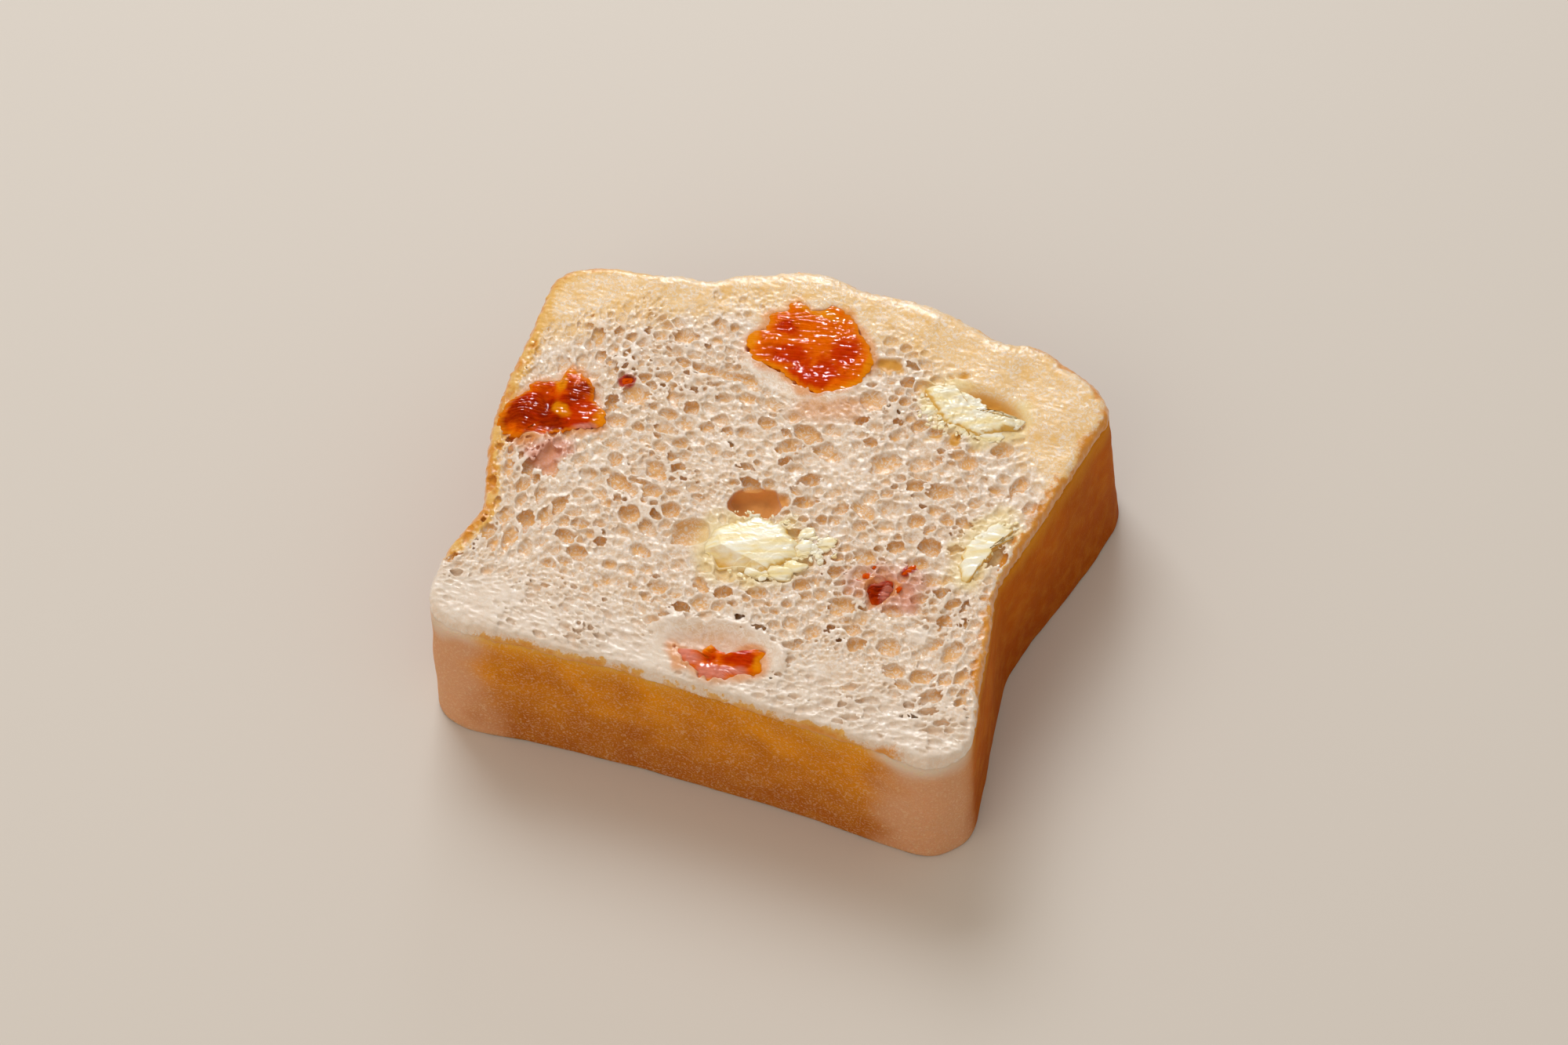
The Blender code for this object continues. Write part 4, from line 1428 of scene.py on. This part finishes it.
# Small bits of fruit torn off and left near by: x, y, depth, half sizes and turn.
FRUIT_LUMPS = {
    "apricot_left": ((-25.9, 9.5, 0.8, 0.85, 0.6, 0.45, 20),),
    "apricot_right": (
        (22.2, -7.6, 0.65, 1.05, 0.42, 0.4, 50),
        (17.2, -10.4, 0.62, 0.6, 0.4, 0.3, 10),
        (16.2, -11.6, 0.66, 0.4, 0.3, 0.3, 0),
        (21.9, -11.0, 0.6, 0.6, 0.35, 0.3, 70),
        (17.6, -8.6, 0.66, 0.5, 0.3, 0.3, 60),
    ),
}
fruits = {}
for node, (cuts, rim_drop, power, *ridged) in FRUIT_SETTINGS.items():
    fruits[node] = fitted(node, cuts, rim_drop, power, fruit_surface(FRUIT_FORMS[node], *ridged))
for seed, (node, lumps) in enumerate(FRUIT_LUMPS.items(), start=88):
    crumbs_of(fruits[node], lumps, seed)
print("fruit:", list(fruits))

# %% [markdown]
# Chocolate breaks like a brittle wax: flat faces that meet in crisp edges, thin flakes where the
# knife dragged it, and small lumps left along the cut. The top of each chunk is the lowest of a
# few tilted planes, with flakes like roof tiles over it.


# %% Chocolate surfaces
def facets(x, y, centre, planes):
    """The lowest of several tilted planes: (slope along x, slope along y, height at the centre)."""
    heights = [c + a * (x - centre[0]) + b * (y - centre[1]) for a, b, c in planes]
    return np.minimum.reduce(heights)


def flakes(x, y, spacing, turn, seed):
    """Steps like roof tiles, from 0 to 1, that run along one way."""
    place = np.column_stack([x, y])
    angle = math.radians(turn)
    across = -x * math.sin(angle) + y * math.cos(angle)
    across = across / spacing + 0.5 * point_noise(place, 2.4, seed) + 0.15 * point_noise(place, 0.8, seed + 1)
    share = across - np.floor(across)
    return share * smooth_step(1.0, 0.86, share)


def chocolate_surface(centre, planes, flake, roughness, seed):
    height, spacing, turn = flake

    def surface(x, y):
        place = np.column_stack([x, y])
        where = np.clip(0.5 + 0.7 * point_noise(place, 3.0, seed + 3), 0, 1)
        top = facets(x, y, centre, planes) + height * where * (flakes(x, y, spacing, turn, seed) - 0.5)
        torn = np.abs(point_noise(place, 1.0, seed + 1)) + 0.6 * np.abs(point_noise(place, 0.45, seed + 2))
        return top - roughness * (1.3 - where) * (torn - 0.6)

    return surface


# Cuts of the cube and how far the rim lies under the cut face, then the middle, the tilted planes,
# the flakes (height, spacing, turn), the roughness and the seed of the top.
CHOCOLATE_SETTINGS = {
    "white_chocolate_centre": (
        90, 0.8, (0.9, -11.1),
        ((0.13, 0.89, 2.43), (-0.03, 0.03, 0.38), (0.08, -0.16, 0.45), (-0.16, 0.05, 1.0), (0.45, 0.1, 2.4)),
        (0.07, 2.3, 26), 0.06, 121,
    ),
    "white_chocolate_upper": (
        80, 0.8, (21.7, 20.1),
        ((0.02, 0.09, 0.45), (-0.08, -0.2, 0.85), (0.12, 0.3, 1.1)),
        (0.12, 1.3, -4), 0.1, 131,
    ),
    "white_chocolate_side": (
        50, 0.7, (31.0, -1.6),
        ((0.02, -0.02, -0.05), (-0.1, 0.0, 0.02)),
        (0.18, 2.2, 12), 0.03, 141,
    ),
}
CHOCOLATE_POWER = 12
# Larger lumps, placed one by one: x, y, depth, half sizes and turn.
CHOCOLATE_LUMPS = {
    "white_chocolate_centre": (
        (7.6, -9.0, 0.5, 1.7, 1.2, 0.8, 30), (5.2, -14.2, 0.5, 1.8, 1.0, 0.8, 5),
        (7.4, -12.4, 0.5, 1.3, 1.0, 0.7, 30), (7.0, -6.9, 0.55, 1.2, 0.8, 0.5, 60),
        (10.2, -7.4, 0.6, 1.3, 0.9, 0.5, 20), (2.6, -15.3, 0.5, 1.1, 0.8, 0.6, 0),
    ),
    "white_chocolate_upper": (
        (27.8, 20.3, 0.3, 1.4, 1.0, 0.8, -10), (15.9, 18.6, 0.5, 1.2, 0.9, 0.5, 30),
        (25.6, 17.2, 0.45, 1.4, 0.8, 0.5, 15),
    ),
    "white_chocolate_side": (),
}
# Patches of small crumbs: the patch, how many, the largest, their depth and the seed.
SCATTERED = {
    "white_chocolate_centre": (
        ((8.4, -9.4, 4.6, 2.8, 30), 42, 0.8, 0.42, 11),
        ((3.4, -15.2, 4.4, 1.2, 12), 16, 0.6, 0.45, 12),
        ((0.5, -6.2, 4.6, 0.8, 5), 14, 0.5, 0.4, 13),
    ),
    "white_chocolate_upper": (
        ((20.8, 16.8, 6.4, 1.5, -2), 40, 0.7, 0.42, 21),
        ((15.4, 19.6, 1.8, 2.6, 0), 16, 0.6, 0.4, 22),
        ((22.0, 20.0, 5.0, 1.6, -12), 14, 0.6, 0.1, 23),
    ),
    "white_chocolate_side": (
        ((30.6, -3.4, 3.8, 1.1, 72), 16, 0.55, 0.35, 31),
        ((32.6, 3.4, 1.6, 1.0, 20), 10, 0.6, 0.4, 32),
    ),
}
chocolates = {}
for node, (cuts, rim_drop, *top) in CHOCOLATE_SETTINGS.items():
    chocolates[node] = fitted(node, cuts, rim_drop, CHOCOLATE_POWER, chocolate_surface(*top))
for seed, (node, piece) in zip((151, 161, 171), chocolates.items()):
    lumps = list(CHOCOLATE_LUMPS[node])
    for patch in SCATTERED[node]:
        lumps += scattered(*patch)
    crumbs_of(piece, lumps, seed)
print("chocolate:", list(chocolates))

# %% [markdown]
# Dried apricot is a sticky sugar gel held in fibres: strongly coloured, translucent and glossy.
# Light that enters the thin rim comes out amber, and the thick middle stays a deep red orange.
# One colour with strong light inside would do the same, but it blurs the fibres. So the colours
# are laid on where the masks say, and only a little light goes inside.

# %% Dried apricot material
# A soft gel under a thin sharp coat of syrup, which is what glints along the ridges.
apricot, shader = new_material(
    "dried_apricot",
    Roughness=0.3,
    IOR=1.45,
    Specular_IOR_Level=0.02,
    Subsurface_Weight=0.3,
    Subsurface_Scale=MM,
    Subsurface_Radius=(0.9, 0.5, 0.3),
    Coat_Weight=0.6,
    Coat_Roughness=0.03,
)
place = add(apricot, "ShaderNodeTexCoord").outputs["Object"]
FRUIT_MASKS = ("deep", "dark", "amber", "edge", "sugar_sheen")
on = {key: add(apricot, "ShaderNodeAttribute", attribute_name=key).outputs["Fac"] for key in FRUIT_MASKS}
stretched = {"vector_type": "TEXTURE", "Rotation": (0, 0, 0.22), "Scale": (9.0, 1.0, 1.0)}
along = add(apricot, "ShaderNodeMapping", [("Vector", place)], **stretched).outputs[0]
fibrous = {"Scale": 1 / (0.6 * MM), "Detail": 1.0, "Distortion": 0.3}
fibres = add(apricot, "ShaderNodeTexNoise", [("Vector", along)], **fibrous).outputs["Fac"]
gel = add(apricot, "ShaderNodeTexNoise", [("Vector", place)], Scale=1 / (1.6 * MM), Detail=1.0)
# The last layer is a film of sugar with a painted sheen on it.
colour = painted(
    apricot,
    "#ea6a00",
    (on["deep"], 0, 1, 1, "#c43000"),
    (on["dark"], 0, 1.15, 1, "#861a00"),
    (fibres, 0.4, 0.7, 0.35, "#dc4e00"),
    (on["amber"], 0, 1.3, 1, "#ef9408"),
    (on["edge"], 0.2, 1.5, 1, "#ea8a10"),
    (on["sugar_sheen"], 0, 1.2, 1, "#d98a78"),
)
apricot.node_tree.links.new(colour, shader.inputs["Base Color"])
bump = add(apricot, "ShaderNodeBump", [("Height", fibres)], Strength=0.8, Distance=0.24 * MM)
over = [("Height", gel.outputs["Fac"]), ("Normal", bump.outputs[0])]
bump = add(apricot, "ShaderNodeBump", over, Strength=0.3, Distance=0.12 * MM)
apricot.node_tree.links.new(bump.outputs[0], shader.inputs["Normal"])
apricot.node_tree.links.new(bump.outputs[0], shader.inputs["Coat Normal"])
for piece in fruits.values():
    piece.data.materials.append(apricot)
print("apricot nodes:", len(apricot.node_tree.nodes))

# %% [markdown]
# White chocolate is cocoa butter, milk and sugar: a pale cream wax with a satin surface. It turns yellow
# where it is seen in its own shade, as light comes to it through more of the fat. Light inside it would take
# the crispness from its broken edges, so there is little of that, and the yellow is painted shade, laid on
# where the surface is steep or lies deep, and more faintly by its rim.

# %% White chocolate material
# A satin wax with a faint smoother coat, because the knife has polished the fat.
chocolate, shader = new_material(
    "white_chocolate",
    Roughness=0.34,
    IOR=1.46,
    Subsurface_Weight=0.12,
    Subsurface_Scale=MM,
    Subsurface_Radius=(0.6, 0.5, 0.4),
    Coat_Weight=0.15,
    Coat_Roughness=0.12,
)
place = add(chocolate, "ShaderNodeTexCoord").outputs["Object"]
WAX_MASKS = ("edge", "shade")
on = {key: add(chocolate, "ShaderNodeAttribute", attribute_name=key).outputs["Fac"] for key in WAX_MASKS}
stretched = {"vector_type": "TEXTURE", "Rotation": (0, 0, 0.4), "Scale": (5.0, 1.0, 1.0)}
along = add(chocolate, "ShaderNodeMapping", [("Vector", place)], **stretched).outputs[0]
streaky = {"Scale": 1 / (0.9 * MM), "Detail": 4.0, "Distortion": 0.4}
streaks = add(chocolate, "ShaderNodeTexNoise", [("Vector", along)], **streaky).outputs["Fac"]
granules = add(chocolate, "ShaderNodeTexNoise", [("Vector", place)], Scale=1 / (0.35 * MM), Detail=3.0)
colour = painted(
    chocolate,
    "#fbe6ac",
    (streaks, 0.38, 0.62, 1, "#fef8e2"),
    (on["edge"], 0, 1.6, 1, "#f4dc98"),
    (on["shade"], 0, 1, 1, "#e9b648"),
)
chocolate.node_tree.links.new(colour, shader.inputs["Base Color"])
bump = add(chocolate, "ShaderNodeBump", [("Height", streaks)], Strength=0.5, Distance=0.12 * MM)
over = [("Height", granules.outputs["Fac"]), ("Normal", bump.outputs[0])]
bump = add(chocolate, "ShaderNodeBump", over, Strength=0.5, Distance=0.06 * MM)
chocolate.node_tree.links.new(bump.outputs[0], shader.inputs["Normal"])
for piece in chocolates.values():
    piece.data.materials.append(chocolate)
print("chocolate nodes:", len(chocolate.node_tree.nodes))

# %% [markdown]
# ## Riding on the frame
#
# Every piece rides on the one body that the slice is, and the solid that it stands for is hidden.

# %% Ride and replace
for piece in [crust_ring, *crumb_pieces]:
    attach(piece, "root")
    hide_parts("bread_slice")
for finish, pieces in (("dried_apricot", fruits), ("white_chocolate", chocolates)):
    for node, piece in pieces.items():
        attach(piece, "root")
        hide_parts(node)

# %% [markdown]
# ## Floor, light and camera
#
# A plain pale floor and soft light: one large lamp behind and to the left, so that it skims the
# crumb and leaves the front crust in gentle shade, and a weak wide fill. Wet crumb and syrup would
# mirror both lamps as broad white patches, so they are kept out of the gloss. Instead a small lamp
# that shows only there gives the fine glints.

# %% Floor
deselect_all()
bpy.ops.mesh.primitive_plane_add(size=4.0)
floor = bpy.context.object
floor.name = "floor"
floor_paint, shader = new_material("pale_floor", Roughness=0.7)
shader.inputs["Base Color"].default_value = linear("#d9d2c8")
floor.data.materials.append(floor_paint)


# %% Lights
def soft_lamp(name, place, size, watts, colour, mirrored=True, lights=True):
    """A square lamp that looks at the slice. It can be kept out of the gloss, or show only there."""
    bpy.ops.object.light_add(type="AREA", location=place)
    lamp = bpy.context.object
    lamp.name = name
    lamp.data.size = size
    lamp.data.energy = watts
    lamp.data.color = linear(colour)[:3]
    lamp.visible_glossy = mirrored
    lamp.visible_diffuse = lights
    lamp.rotation_euler = (Vector((0, 0, 0.02)) - Vector(place)).to_track_quat("-Z", "Y").to_euler()
    return lamp


soft_lamp("window", (-0.38, 0.5, 0.78), 0.5, 5.6, "#f2f8ff", mirrored=False)
soft_lamp("fill", (-0.3, -0.9, 0.7), 1.0, 2.4, "#ffe9d2", mirrored=False)
soft_lamp("glint", (-0.3, 0.88, 0.4), 0.22, 6.0, "#ffffff", lights=False)
world = bpy.data.worlds.new("soft_room")
world.use_nodes = True
world.node_tree.nodes["Background"].inputs["Color"].default_value = linear("#fff4e8")
world.node_tree.nodes["Background"].inputs["Strength"].default_value = 0.5
world.cycles_visibility.glossy = False
bpy.context.scene.world = world
bpy.context.scene.view_settings.view_transform = "Standard"

# %% [markdown]
# The camera looks from the photo's side: an 80 mm lens about half a metre away, looking down
# steeply and with a slight roll. The lens was chosen, and its tilt and roll were worked out from
# the perspective in the photo. The outline of the solid was then traced through this camera.

# %% Camera
CAMERA_PLACE = Vector((107.0, -254.8, 418.0)) * MM
CAMERA_DOWN = math.radians(55.6)
CAMERA_ROLL = math.radians(-2.6)
HEADING = Vector((-0.3842, 0.9233, 0.0))
forward = HEADING * math.cos(CAMERA_DOWN) - Vector((0, 0, math.sin(CAMERA_DOWN)))
level_right = Vector((HEADING.y, -HEADING.x, 0.0))
level_up = level_right.cross(forward)
right = level_right * math.cos(CAMERA_ROLL) + level_up * math.sin(CAMERA_ROLL)
up = level_up * math.cos(CAMERA_ROLL) - level_right * math.sin(CAMERA_ROLL)
deselect_all()
bpy.ops.object.camera_add(location=CAMERA_PLACE)
camera = bpy.context.object
camera.data.lens = 80.0
camera.data.sensor_width = 36.0
camera.data.clip_start = 0.01
camera.matrix_world = Matrix(
    (
        (right.x, up.x, -forward.x, CAMERA_PLACE.x),
        (right.y, up.y, -forward.y, CAMERA_PLACE.y),
        (right.z, up.z, -forward.z, CAMERA_PLACE.z),
        (0.0, 0.0, 0.0, 1.0),
    )
)
bpy.context.scene.camera = camera
